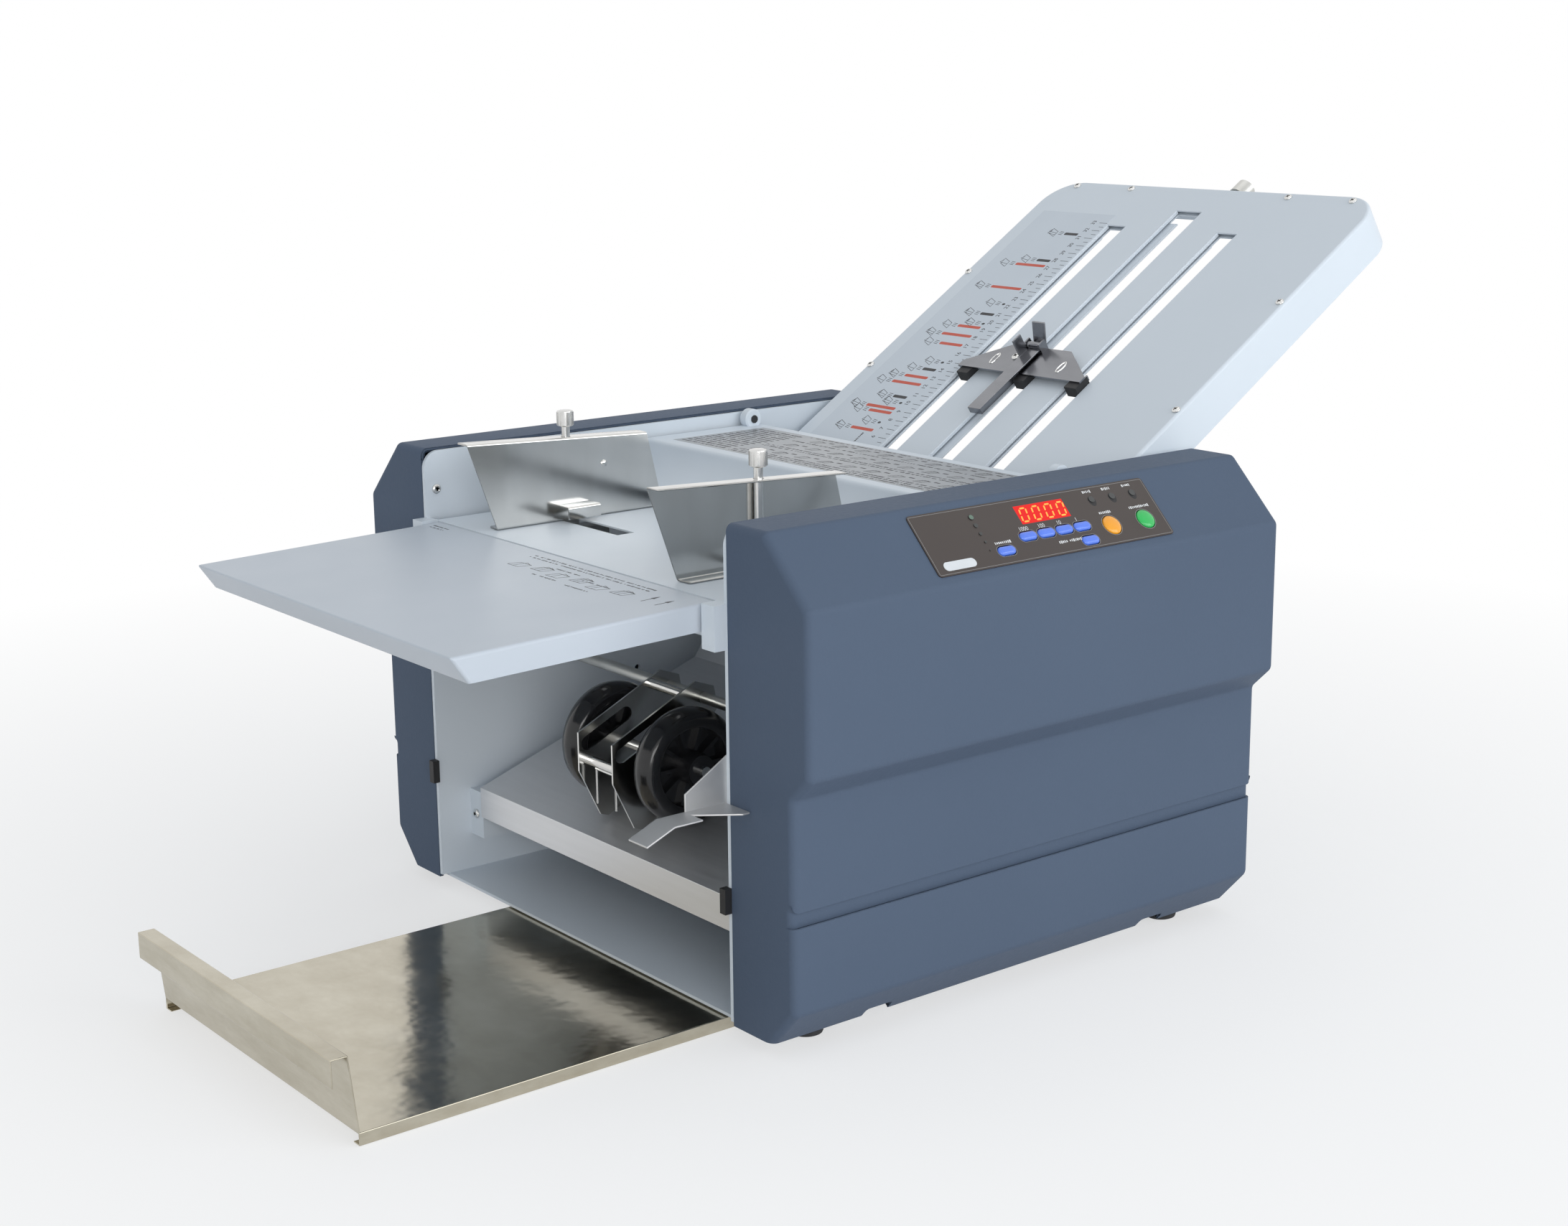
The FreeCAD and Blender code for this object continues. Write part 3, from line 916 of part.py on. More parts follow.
carrier_bores = [rod("carrier_pivot_bore", "y", "carrier_bar_radius + running_gap", *wide,
                     x="carrier_bar_x", z="carrier_bar_z"),
                 rod("carrier_shaft_bore", "y", "wheel_shaft_radius + running_gap", *wide,
                     x="wheel_x", z="wheel_z")]
node("wheel_carrier", fuse("carrier_solid",
                           cut("carrier_plates_cut", fuse("carrier_plate_pair", *carrier_plates), slot_set,
                               *carrier_bores),
                           *spacers))
wheels = []
for side, sign in SIDES.items():
    near, far = "(wheel_half - wheel_width / 2)", "(wheel_half + wheel_width / 2)"
    tyre = lathe(f"{side}_wheel_blank", "y", [(r, f"{sign} * ({y})") for r, y in (
        ("wheel_shaft_radius", near), ("hub_radius", near), ("hub_radius", "wheel_half - web_half"),
        ("rim_inner", "wheel_half - web_half"), ("rim_inner", near), ("wheel_radius", near),
        ("wheel_radius", far), ("rim_inner", far), ("rim_inner", "wheel_half + web_half"),
        ("hub_radius", "wheel_half + web_half"), ("hub_radius", f"{far} + hub_reach"),
        ("wheel_shaft_radius", f"{far} + hub_reach"))], "wheel_x", "0", "wheel_z")
    round_rims(tyre, "tyre_round", "wheel_radius")
    ribs = []
    for i in range(SIZES["spoke_count"]):
        rib = group(f"{side}_rib_{i}", block(
            f"{side}_rib_bar_{i}", ("hub_radius - spoke_half", "rim_inner + spoke_half"),
            across(side, "wheel_half - spoke_reach", "wheel_half + spoke_reach"),
            ("-spoke_half", "spoke_half")))
        turn(rib, "y", f"{i} * full_turn / spoke_count")
        put(rib, "wheel_x", "0", "wheel_z")
        ribs.append(rib)
    wheels.append(fuse(f"{side}_wheel", tyre, *ribs))
node("stacker_wheels", *wheels)
shaft_end = "wheel_half + wheel_width / 2 + hub_reach + shaft_reach"
node("wheel_shaft", rod("wheel_axle", "y", "wheel_shaft_radius", f"-({shaft_end})", shaft_end,
                        x="wheel_x", z="wheel_z"))
wire_top = "spacer_z - spacer_radius - wire_radius"
node("carrier_wire", fuse(
    "wire_solid",
    rod("wire_cross", "y", "wire_radius", "-wire_half - wire_radius", "wire_half + wire_radius", x="spacer_x",
        z=wire_top),
    *[rod(f"{side}_wire_leg", "z", "wire_radius", f"{wire_top} - wire_drop", wire_top, "spacer_x",
          f"{sign} * wire_half") for side, sign in SIDES.items()]))

# Sheet deflector: an upright on the operator's frame, a shelf ahead of the cover, and a bent tongue
tongue_z = "deflector_z - deflector_sheet"
shelf_y = ("-frame_half - deflector_width", "deflector_sheet - frame_half")
tongue_y = ("deflector_sheet - frame_half - tongue_width", "deflector_sheet - frame_half")
tip_x = "deflector_front - tongue_reach - tongue_reach"
node("sheet_deflector", fuse(
    "deflector_solid",
    plate("deflector_upright", "xz", [
        ("deflector_front", tongue_z), ("deflector_rear", tongue_z), ("deflector_rear", "deflector_top"),
        ("deflector_peak", "deflector_top"), ("deflector_front", "deflector_tip")],
        "-frame_half", "deflector_sheet - frame_half"),
    plate("deflector_shelf", "xy", [
        ("deflector_front", shelf_y[1]), ("deflector_front", "-frame_half - tongue_width * tongue_share"),
        ("deflector_stop - overrun", shelf_y[0]), ("deflector_stop", shelf_y[0]),
        ("deflector_stop", shelf_y[1])], tongue_z, "deflector_z"),
    plate("deflector_tongue", "xz", [
        ("deflector_front", tongue_z), ("deflector_front", "deflector_z"),
        ("deflector_front - tongue_reach", "deflector_z"),
        (tip_x, "deflector_z - tongue_reach * tan(tongue_slope)"),
        (tip_x, "deflector_z - tongue_reach * tan(tongue_slope) - deflector_sheet"),
        ("deflector_front - tongue_reach", tongue_z)], *tongue_y)))

# Exit tray: a thin drawer under the base plate with an upturned front
exit_y = ("exit_centre - exit_half", "exit_centre + exit_half")
exit_top = "exit_floor + exit_sheet + exit_wall"
exit_parts = [
    block("exit_floor_sheet", ("exit_front", "exit_rear"), exit_y, ("exit_floor", "exit_floor + exit_sheet")),
    plate("exit_front_wall", "xz", [
        ("exit_front", "exit_floor"), ("exit_front + exit_sheet", "exit_floor"),
        ("exit_front + exit_sheet - exit_lean", exit_top), ("exit_front - exit_lean", exit_top)], *exit_y),
    block("exit_brow_sheet", ("exit_front - exit_lean - exit_brow", "exit_front - exit_lean + exit_sheet"),
          exit_y, (f"{exit_top} - exit_sheet", exit_top)),
    block("exit_lip_sheet", ("exit_front - exit_lean - exit_brow",
                             "exit_front - exit_lean - exit_brow + exit_sheet"),
          exit_y, (f"{exit_top} - exit_lip", exit_top))]
for i, (edge, inner) in enumerate((("exit_centre - exit_half", 1), ("exit_centre + exit_half", -1))):
    rail = (edge, f"{edge} + exit_sheet") if inner > 0 else (f"{edge} - exit_sheet", edge)
    shelf = (edge, f"{edge} + rail_flange") if inner > 0 else (f"{edge} - rail_flange", edge)
    exit_parts.append(block(f"exit_rail_{i}", ("exit_front", "exit_rear"), rail,
                            ("exit_lift", "exit_floor + exit_sheet")))
    exit_parts.append(block(f"exit_flange_{i}", ("exit_front", "exit_rear"), shelf,
                            ("exit_lift", "exit_lift + exit_sheet")))
node("exit_tray", fuse("exit_solid", *exit_parts))

# Control panel: fascia, window, lamps and keys on the operator cover's slope


def pill(name, x, drop, margin, low, high):
    """An obround peg on the panel's slope."""
    straight = "(key_length - key_width) / 2"
    half = f"key_width / 2 + {margin}"
    obj = fuse(name,
               block(f"{name}_mid", (f"-{straight}", straight), (f"-({half})", half), (low, high)),
               rod(f"{name}_near", "z", half, low, high, f"-{straight}"),
               rod(f"{name}_far", "z", half, low, high, straight))
    return on_panel(obj, x, drop)


PILLS = {f"digit_key_{i + 1}": (f"digit_key_x + {i} * digit_key_step", "digit_key_drop") for i in range(4)}
PILLS.update(speed_key=("speed_key_x", "speed_key_drop"), clear_key=("clear_key_x", "clear_key_drop"))
ROUNDS = dict(test_key=("test_key_x", "round_key_drop"), start_key=("start_key_x", "round_key_drop"))
through = ("-overrun", "overrun")
openings = [pill(f"{name}_hole", x, drop, "key_gap", *through) for name, (x, drop) in PILLS.items()]
openings += [on_panel(group(f"{name}_hole", rod(f"{name}_hole_rod", "z", "round_key_radius + key_gap",
                                                *through)), x, drop)
             for name, (x, drop) in ROUNDS.items()]
for name, (x, drop) in PILLS.items():
    node(name, pill(f"{name}_cap", x, drop, "0", "-key_depth", "key_proud"))
for name, (x, drop) in ROUNDS.items():
    node(name, on_panel(group(f"{name}_cap", lathe(f"{name}_turned", "z", [
        ("0", "-key_depth"), ("round_key_radius", "-key_depth"),
        ("round_key_radius", "key_proud - round_key_dome"),
        ("round_key_radius - round_key_dome", "key_proud"), ("0", "key_proud")])), x, drop))


def lamp_set(name, low, high):
    """Three state lamps and the five lamps of the speed gauge, the gauge's growing smaller downwards."""
    lamps = [on_panel(group(f"{name}_{i}", rod(f"{name}_rod_{i}", "z", "lamp_radius", low, high)),
                      f"lamp_front + {i} * lamp_step", "lamp_drop") for i in range(3)]
    lamps += [on_panel(group(f"{name}_gauge_{i}", rod(
        f"{name}_gauge_rod_{i}", "z", f"lamp_radius * (1 - gauge_shrink_share * {i + 1})", low, high)),
        "gauge_x", f"gauge_drop + {i} * gauge_step") for i in range(SIZES["gauge_count"])]
    return lamps


openings += lamp_set("lamp_hole", *through)
display = ("0", "display_rear - display_front"), ("0", "display_low - display_drop")
openings.append(on_panel(group("display_hole", block("display_hole_block", *display, through)),
                         "display_front", "display_low"))
fascia_blank = plate("fascia_blank", "xy", [
    ("0", "0"), ("fascia_rear - fascia_front", "0"),
    ("fascia_rear - fascia_front", "fascia_low - fascia_drop"),
    ("0", "fascia_low - fascia_drop")], "0", "fascia_sheet")
round_edges(fascia_blank, "fascia_corner", lambda first,
            second: abs(first.z - second.z) > size("fascia_sheet") / 2)
node("control_fascia", cut("fascia_cut", on_panel(group("fascia_set", fascia_blank), "fascia_front",
                                                  "fascia_low"),
                           *openings))
node("display_window", on_panel(group("display_set", block(
    "display_block", *display, ("fascia_sheet - display_sheet", "fascia_sheet"))), "display_front",
    "display_low"))
node("status_lamps", *lamp_set("lamp", "-lamp_depth", "fascia_sheet + lamp_proud"))

# Boards: the key board behind the panel, and the main board with its supply on the operator's frame
key_board = block("key_board", ("key_board_margin", "fascia_rear - fascia_front - key_board_margin"),
                  ("key_board_margin", "fascia_low - fascia_drop - key_board_margin"),
                  ("-key_board_depth - board_sheet", "-key_board_depth"))
key_posts = [rod(f"key_post_{i}", "z", "stand_radius", "-key_board_depth - board_sheet / 2", "0", x, y)
             for i, (x, y) in enumerate((x, y) for x in ("stand_inset",
                                                         "fascia_rear - fascia_front - stand_inset")
                                        for y in ("stand_inset", "fascia_low - fascia_drop - stand_inset"))]
key_switches = [on_panel(group(f"{name}_switch", rod(f"{name}_switch_rod", "z", "stand_radius",
                                                     "-key_board_depth - board_sheet / 2",
                                                     "-key_depth - key_travel")),
                         x, drop) for name, (x, drop) in {**PILLS, **ROUNDS}.items()]
board_y = ("-frame_half - frame_sheet - stand_off - board_sheet", "-frame_half - frame_sheet - stand_off")
board_parts = [block("main_board", ("board_front", "board_front + board_length"), board_y,
                     ("board_low", "board_low + board_height")),
               block("supply_block", ("board_front + stand_inset + board_sheet",
                                      "board_front + stand_inset + block_length"),
                     (f"{board_y[0]} - block_depth", f"{board_y[0]} + board_sheet / 2"),
                     ("board_low + stand_inset", "board_low + stand_inset + block_height")),
               rod("supply_can", "y", "can_radius", f"{board_y[0]} - can_height",
                   f"{board_y[0]} + board_sheet / 2",
                   x="board_front + board_length / 2", z="board_low + board_height / 2")]
board_parts += [rod(f"board_post_{i}", "y", "stand_radius", f"{board_y[1]} - board_sheet / 2",
                    "-frame_half - frame_sheet", x=x, z=z)
                for i, (x, z) in enumerate(
                    (x, z) for x in ("board_front + stand_inset", "board_front + board_length - stand_inset")
                    for z in ("board_low + stand_inset", "board_low + board_height - stand_inset"))]
node("control_board", fuse("main_board_solid", *board_parts),
     fuse("key_board_solid", on_panel(group("key_board_set", key_board, *key_posts), "fascia_front",
                                      "fascia_low"),
          *key_switches))

# Power inlet and rocker in the base plate's rear wall
wall_x = "body_length - rear_wall_inset"
inlet_z_span = ("inlet_z - inlet_height / 2", "inlet_z + inlet_height / 2")
housing = fuse("inlet_housing",
               block("inlet_box", (f"{wall_x} - inlet_depth", wall_x),
                     ("inlet_y - inlet_width / 2", "inlet_y + inlet_width / 2"), inlet_z_span),
               block("inlet_face", (wall_x, f"{wall_x} + inlet_lip"),
                     ("inlet_y - inlet_width / 2 - inlet_lip", "inlet_y + inlet_width / 2 + inlet_lip"),
                     ("inlet_z - inlet_height / 2 - inlet_lip", "inlet_z + inlet_height / 2 + inlet_lip")))
socket = block("inlet_socket", (f"{wall_x} + inlet_lip - socket_depth", f"{wall_x} + inlet_lip + overrun"),
               ("inlet_y + socket_offset - socket_width / 2", "inlet_y + socket_offset + socket_width / 2"),
               ("inlet_z - socket_height / 2", "inlet_z + socket_height / 2"))
rocker_hole = block("rocker_hole", (f"{wall_x} + inlet_lip - rocker_depth - 2 * rocker_gap",
                                    f"{wall_x} + inlet_lip + overrun"),
                    ("inlet_y - rocker_offset - rocker_width / 2 - rocker_gap",
                     "inlet_y - rocker_offset + rocker_width / 2 + rocker_gap"),
                    ("inlet_z - rocker_height / 2 - 4 * rocker_gap",
                     "inlet_z + rocker_height / 2 + 4 * rocker_gap"))
pins = [rod(f"socket_pin_{i}", "x", "stand_radius / 2", f"{wall_x} + inlet_lip - socket_depth", wall_x,
            y=f"inlet_y + socket_offset + {i} * socket_width * pin_share", z="inlet_z") for i in (-1, 0, 1)]
pivot = rod("rocker_pivot", "y", "rocker_pin", "inlet_y - rocker_offset - rocker_width / 2 - 2 * rocker_gap",
            "inlet_y - rocker_offset + rocker_width / 2 + 2 * rocker_gap", x="rocker_x", z="inlet_z")
node("power_inlet", fuse("inlet_solid", cut("inlet_cut", housing, socket, rocker_hole), *pins, pivot))
rocker = plate("rocker_blank", "xz", [
    ("-rocker_depth / 2", "-rocker_height / 4"), ("rocker_depth / 2", "-rocker_height / 2"),
    ("rocker_depth / 2 + rocker_proud", "-rocker_height / 2"),
    ("rocker_depth / 2 + rocker_proud * rocker_share", "0"),
    ("rocker_depth / 2 + rocker_proud", "rocker_height / 2"), ("rocker_depth / 2", "rocker_height / 2"),
    ("-rocker_depth / 2", "rocker_height / 4")], "-rocker_width / 2", "rocker_width / 2")
rocker_bore = rod("rocker_bore", "y", "rocker_pin + running_gap", "-rocker_width", "rocker_width")
rocker_set = group("rocker_set", cut("rocker_cut", rocker, rocker_bore))
turn(rocker_set, "y", "rocker_tilt")
put(rocker_set, "rocker_x", "inlet_y - rocker_offset", "inlet_z")
node("power_rocker", rocker_set)

doc.recompute()
faults = [f"{obj.Name}: {obj.State}" for obj in doc.Objects if {"Invalid", "Error"} & set(obj.State)]
faults += [f"{name}: null or invalid shape" for name, obj in nodes.items()
           if obj.Shape.isNull() or not obj.Shape.isValid()]
if faults:
    raise RuntimeError("; ".join(faults))

os.makedirs("parts", exist_ok=True)
for name, obj in nodes.items():
    obj.Shape.exportStep(f"parts/{name}.step")
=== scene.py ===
import itertools
import math

import bmesh
import bpy
from mathutils import Matrix, Vector


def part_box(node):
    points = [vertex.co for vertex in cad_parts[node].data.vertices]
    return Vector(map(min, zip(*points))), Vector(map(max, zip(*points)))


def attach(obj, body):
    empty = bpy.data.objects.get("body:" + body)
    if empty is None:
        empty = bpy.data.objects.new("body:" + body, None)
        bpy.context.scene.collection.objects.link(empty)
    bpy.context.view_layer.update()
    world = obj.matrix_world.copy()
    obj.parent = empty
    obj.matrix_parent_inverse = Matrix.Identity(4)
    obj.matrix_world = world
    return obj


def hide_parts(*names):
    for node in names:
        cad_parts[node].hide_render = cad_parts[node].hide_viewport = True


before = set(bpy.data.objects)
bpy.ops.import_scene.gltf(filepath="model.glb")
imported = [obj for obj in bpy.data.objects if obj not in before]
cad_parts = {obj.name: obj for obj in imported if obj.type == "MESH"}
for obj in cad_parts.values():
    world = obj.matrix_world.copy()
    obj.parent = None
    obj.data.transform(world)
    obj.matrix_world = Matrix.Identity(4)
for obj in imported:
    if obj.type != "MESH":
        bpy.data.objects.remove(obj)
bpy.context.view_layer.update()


# Studio: a pale sweep under the machine, one broad soft lamp on the operator's side and a weaker one
# on the feed side. The camera stands at the feed tray's corner, a little above the covers.
class Wire:
    """A socket's value; a sum or product written with it adds its Math node."""

    def __init__(self, graph, socket):
        self.graph, self.socket = graph, socket

    def join(self, operation, first, second):
        return self.graph.add("ShaderNodeMath", "Value",
                              {"Value": first, "Value_001": second}, operation=operation)

    def above(self, other):
        return self.join("GREATER_THAN", self, other)


for word, operation in (("add", "ADD"), ("sub", "SUBTRACT"), ("mul", "MULTIPLY"), ("truediv", "DIVIDE")):
    setattr(Wire, f"__{word}__", lambda wire, other, kind=operation: wire.join(kind, wire, other))
    setattr(Wire, f"__r{word}__", lambda wire, other, kind=operation: wire.join(kind, other, wire))


def socket_of(sockets, key):
    if isinstance(key, int):
        return sockets[key]
    return next((s for s in sockets if s.identifier == key), None) or sockets[key]


class Graph:
    """A node tree, and the methods that add nodes to it."""

    def __init__(self, tree):
        self.tree = tree
        tree.nodes.clear()

    def add(self, kind, out=0, links=None, **settings):
        item = self.tree.nodes.new(kind)
        for key, value in settings.items():
            setattr(item, key, value)
        for key, value in (links or {}).items():
            socket = socket_of(item.inputs, key)
            if isinstance(value, Wire):
                self.tree.links.new(value.socket, socket)
            else:
                socket.default_value = value
        return Wire(self, socket_of(item.outputs, out)) if item.outputs else item

    def shown(self):
        """1 on a ray that the camera sees, straight or by way of metal or glass."""
        rays = [self.add("ShaderNodeLightPath", kind)
                for kind in ("Is Camera Ray", "Is Glossy Ray", "Is Transmission Ray")]
        return (rays[0] + rays[1] + rays[2]).above(0.5)

    def blend(self, factor, first, second):
        """Mix two colours by a mask."""
        return self.add("ShaderNodeMix", "Result_Color",
                        {"Factor_Float": factor, "A_Color": (*first, 1), "B_Color": (*second, 1)},
                        data_type="RGBA")


class Finish(Graph):
    """A material built on one Principled shader."""

    def __init__(self, name):
        self.material = bpy.data.materials.new(name)
        self.material.use_nodes = True
        super().__init__(self.material.node_tree)
        self.where = self.add("ShaderNodeTexCoord", "Object")

    def noise(self, scale, detail=2.0, stretch=None, rough=0.5):
        where = self.where
        if stretch:
            where = self.add("ShaderNodeMapping", "Vector", {"Vector": where, "Scale": stretch})
        return self.add("ShaderNodeTexNoise", 0,
                        {"Vector": where, "Scale": scale, "Detail": detail, "Roughness": rough})

    def cells(self, scale, feature="SMOOTH_F1"):
        return self.add("ShaderNodeTexVoronoi", "Distance",
                        {"Vector": self.where, "Scale": scale}, feature=feature)

    def bump(self, height, distance, strength=1.0):
        return self.add("ShaderNodeBump", "Normal",
                        {"Strength": strength, "Distance": distance, "Height": height})

    def shade(self, **sockets):
        values = {key.replace("_", " "): (*v, 1) if isinstance(v, tuple) else v for key, v in sockets.items()}
        surface = self.add("ShaderNodeBsdfPrincipled", "BSDF", values)
        self.add("ShaderNodeOutputMaterial", 0, {"Surface": surface})
        return self.material


face_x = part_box("operator_cover")[0].x


def at(x, y, z):
    """A point given in millimetres from the covers' front face, the middle and the ground."""
    return Vector((face_x + x / 1000, y / 1000, z / 1000))


scene = bpy.context.scene
scene.view_settings.view_transform = "Standard"
camera = bpy.data.objects.new("camera", bpy.data.cameras.new("camera"))
scene.collection.objects.link(camera)
scene.camera = camera
camera.location = at(-812.7, -1264.4, 589.6)
camera.data.sensor_width, camera.data.lens = 36.0, 55.148
camera.data.clip_start, camera.data.clip_end = 0.05, 60
turn_left, dip, roll = math.radians(-38.1115), math.radians(13.389), math.radians(-0.6158)
back = Vector((math.sin(turn_left) * math.cos(dip), -math.cos(turn_left) * math.cos(dip), math.sin(dip)))
level = Vector((0, 0, 1)).cross(back).normalized()
right = level * math.cos(roll) + back.cross(level) * math.sin(roll)
camera.rotation_euler = Matrix((right, back.cross(right), back)).transposed().to_euler()

sweep = Finish("studio_floor")
seen = sweep.shown()
far = sweep.add("ShaderNodeVectorMath", "Value", {"Vector": sweep.where}, operation="LENGTH")
edge = sweep.add("ShaderNodeMapRange", "Result",
                 {"Value": far, "From Min": 0.35, "From Max": 1.25, "To Min": 0.58})
paper = sweep.add("ShaderNodeBsdfDiffuse", "BSDF", {"Color": (0.94, 0.94, 0.945, 1)})
glow = sweep.add("ShaderNodeEmission", "Emission", {"Color": (1, 1, 1, 1), "Strength": 1.0})
sweep.add("ShaderNodeOutputMaterial", 0, {"Surface": sweep.add(
    "ShaderNodeMixShader", 0, {0: seen * edge, 1: paper, 2: glow})})
bpy.ops.mesh.primitive_plane_add(size=40, location=(0, 0, 0))
floor = bpy.context.object
floor.name = "floor"
floor.data.materials.append(sweep.material)

world = bpy.data.worlds.new("studio_air")
scene.world = world
world.use_nodes = True
air = Graph(world.node_tree)
path = air.shown()
aim = air.add("ShaderNodeTexCoord", "Generated")
lean = air.add("ShaderNodeVectorMath", "Value",
               {"Vector": aim, "Vector_001": (0.05, -0.97, 0.15)}, operation="DOT_PRODUCT")
level_light = air.add("ShaderNodeMapRange", "Result",
                      {"Value": lean, "From Min": -0.9, "From Max": 1.0, "To Min": 0.34, "To Max": 0.80})
plain = air.add("ShaderNodeBackground", "Background",
                {"Color": (0.90, 0.955, 1, 1), "Strength": level_light})
white = air.add("ShaderNodeBackground", "Background", {"Color": (1, 1, 1, 1), "Strength": 1.0})
air.add("ShaderNodeOutputWorld", 0, {"Surface": air.add(
    "ShaderNodeMixShader", 0, {0: path, 1: plain, 2: white})})


def lamp(name, place, target, width, height, power, colour=(1, 1, 1)):
    data = bpy.data.lights.new(name, "AREA")
    data.shape, data.size, data.size_y = "RECTANGLE", width, height
    data.energy, data.color = power, colour
    piece = bpy.data.objects.new(name, data)
    scene.collection.objects.link(piece)
    piece.location = place
    piece.rotation_euler = (Vector(place) - Vector(target)).to_track_quat("Z", "Y").to_euler()


lamp("broad_lamp", (1.0, -2.6, 1.15), (0.1, 0, 0.15), 2.6, 1.4, 24, (0.93, 0.97, 1))
lamp("feed_lamp", (-1.5, -2.5, 0.7), (-0.05, 0.1, 0.15), 1.4, 1.0, 17)
lamp("top_lamp", (0.2, 0.4, 2.6), (0, 0, 0.2), 2.0, 2.0, 4)


# Base plate and feet: a pressed steel pan in light powder coat on four turned rubber feet.
# The pan carries both side frames and the rear wall of the mains inlet.
def baked(obj):
    """A piece's final mesh, its modifiers applied."""
    bpy.context.view_layer.update()
    return bpy.data.meshes.new_from_object(obj.evaluated_get(bpy.context.evaluated_depsgraph_get()))


def linked(name, shape):
    obj = bpy.data.objects.new(name, shape)
    scene.collection.objects.link(obj)
    return obj


def made(name, work):
    """An object of a worked mesh."""
    shape = bpy.data.meshes.new(name)
    work.to_mesh(shape)
    work.free()
    return linked(name, shape)


def settle(obj, sharp=38):
    """Turn a piece's modifiers into plain mesh, with smooth faces but for its hard edges."""
    obj.data.shade_smooth()
    obj.data.set_sharp_from_angle(angle=math.radians(sharp))
    obj.modifiers.new("even", "WEIGHTED_NORMAL").keep_sharp = True
    shape = baked(obj)
    obj.modifiers.clear()
    old, obj.data = obj.data, shape
    shape.name = obj.name
    bpy.data.meshes.remove(old)
    return obj


def piece_of(name, points, faces, least_area=0.0):
    """An object made of points and faces, its doubles merged and its faces turned outwards."""
    shape = bpy.data.meshes.new(name)
    shape.from_pydata([tuple(p) for p in points], [], faces)
    work = bmesh.new()
    work.from_mesh(shape)
    bpy.data.meshes.remove(shape)
    bmesh.ops.remove_doubles(work, verts=work.verts, dist=1e-6)
    if least_area:
        thin = [f for f in work.faces if f.calc_area() < least_area]
        bmesh.ops.delete(work, geom=thin, context="FACES")
    bmesh.ops.recalc_face_normals(work, faces=work.faces)
    return made(name, work)


def belongs(obj, material, body, *nodes, slot):
    """Give a piece its finish and its body, and hide the frame nodes that it stands for. Its slot is not
    used.
    """
    obj.data.materials.clear()
    obj.data.materials.append(material)
    if nodes:
        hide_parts(*nodes)
    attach(obj, body)


def coat(material, *names):
    """Give frame nodes their finish."""
    for name in names:
        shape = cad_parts[name].data
        if not shape.materials:
            shape.materials.append(material)
        for i in range(len(shape.materials)):
            shape.materials[i] = material


def mottled(name, dark, pale, patch, gloss, grain=None, **more):
    """A finish of two near tones. patch is the arguments of the noise that blends them; gloss is
    (least roughness, its spread, noise); grain is (noise, bump distance, bump strength)."""
    skin = Finish(name)
    least, spread, *speckle = gloss
    if spread:
        more["Roughness"] = least + skin.noise(*speckle) * spread
    else:
        more["Roughness"] = least
    if grain:
        speckle, *depth = grain
        more["Normal"] = skin.bump(skin.noise(*speckle), *depth)
    return skin.shade(Base_Color=skin.blend(skin.noise(*patch), dark, pale), **more)


powder = {"gloss": (0.34, 0.12, 30), "grain": ((900, 2.0), 0.00006, 0.5), "Specular_IOR_Level": 0.4}
powder_coat = mottled("light_powder_coat", (0.68, 0.735, 0.79), (0.73, 0.78, 0.835), (7, 2.0), **powder)
coat(powder_coat, "base_plate", "operator_frame", "drive_frame", "feed_table", "lower_fold_plate")
foot_rubber = mottled("foot_rubber", (0.022, 0.022, 0.024), (0.045, 0.045, 0.048), (260,),
                      (0.72, 0.2, 90), ((1500,), 0.00008))


def turned(name, profile, centre, axis="z", steps=48):
    """A turned piece: (radius, place) pairs in millimetres, spun about an axis through a centre."""
    points, faces = [], []
    for i in range(steps):
        angle = math.tau * i / steps
        for radius, place in profile:
            across, up = radius * math.cos(angle), radius * math.sin(angle)
            spot = (across, up, place) if axis == "z" else (across, place, up)
            points.append(centre + Vector(spot) / 1000)
    count = len(profile)
    for i in range(steps):
        here, there = i * count, (i + 1) % steps * count
        faces += [(here + k, here + k + 1, there + k + 1, there + k) for k in range(count - 1)]
    return piece_of(name, points, faces, least_area=1e-13)


def merged(name, pieces):
    """Join pieces into one, each face with its own piece's finish."""
    work = bmesh.new()
    finishes = []
    for obj in pieces:
        start = len(work.faces)
        work.from_mesh(obj.data)
        for material in obj.data.materials:
            if material not in finishes:
                finishes.append(material)
            work.faces.ensure_lookup_table()
            for face in work.faces[start:]:
                face.material_index = finishes.index(material)
        bpy.data.objects.remove(obj)
    whole = made(name, work)
    for material in finishes:
        whole.data.materials.append(material)
    return whole


foot = [(0, 0), (9.4, 0), (10.4, 0.5), (10.9, 1.6), (11, 5), (10.3, 8.6), (9.6, 9.2), (0, 9.2)]
feet = [settle(turned(f"foot_{x:.0f}_{y:.0f}", foot, at(x, y, 0)))
        for x in (42.0, 355.3) for y in (-192, 192)]
belongs(merged("rubber_feet", feet), foot_rubber, "machine", "feet", slot="rubber")


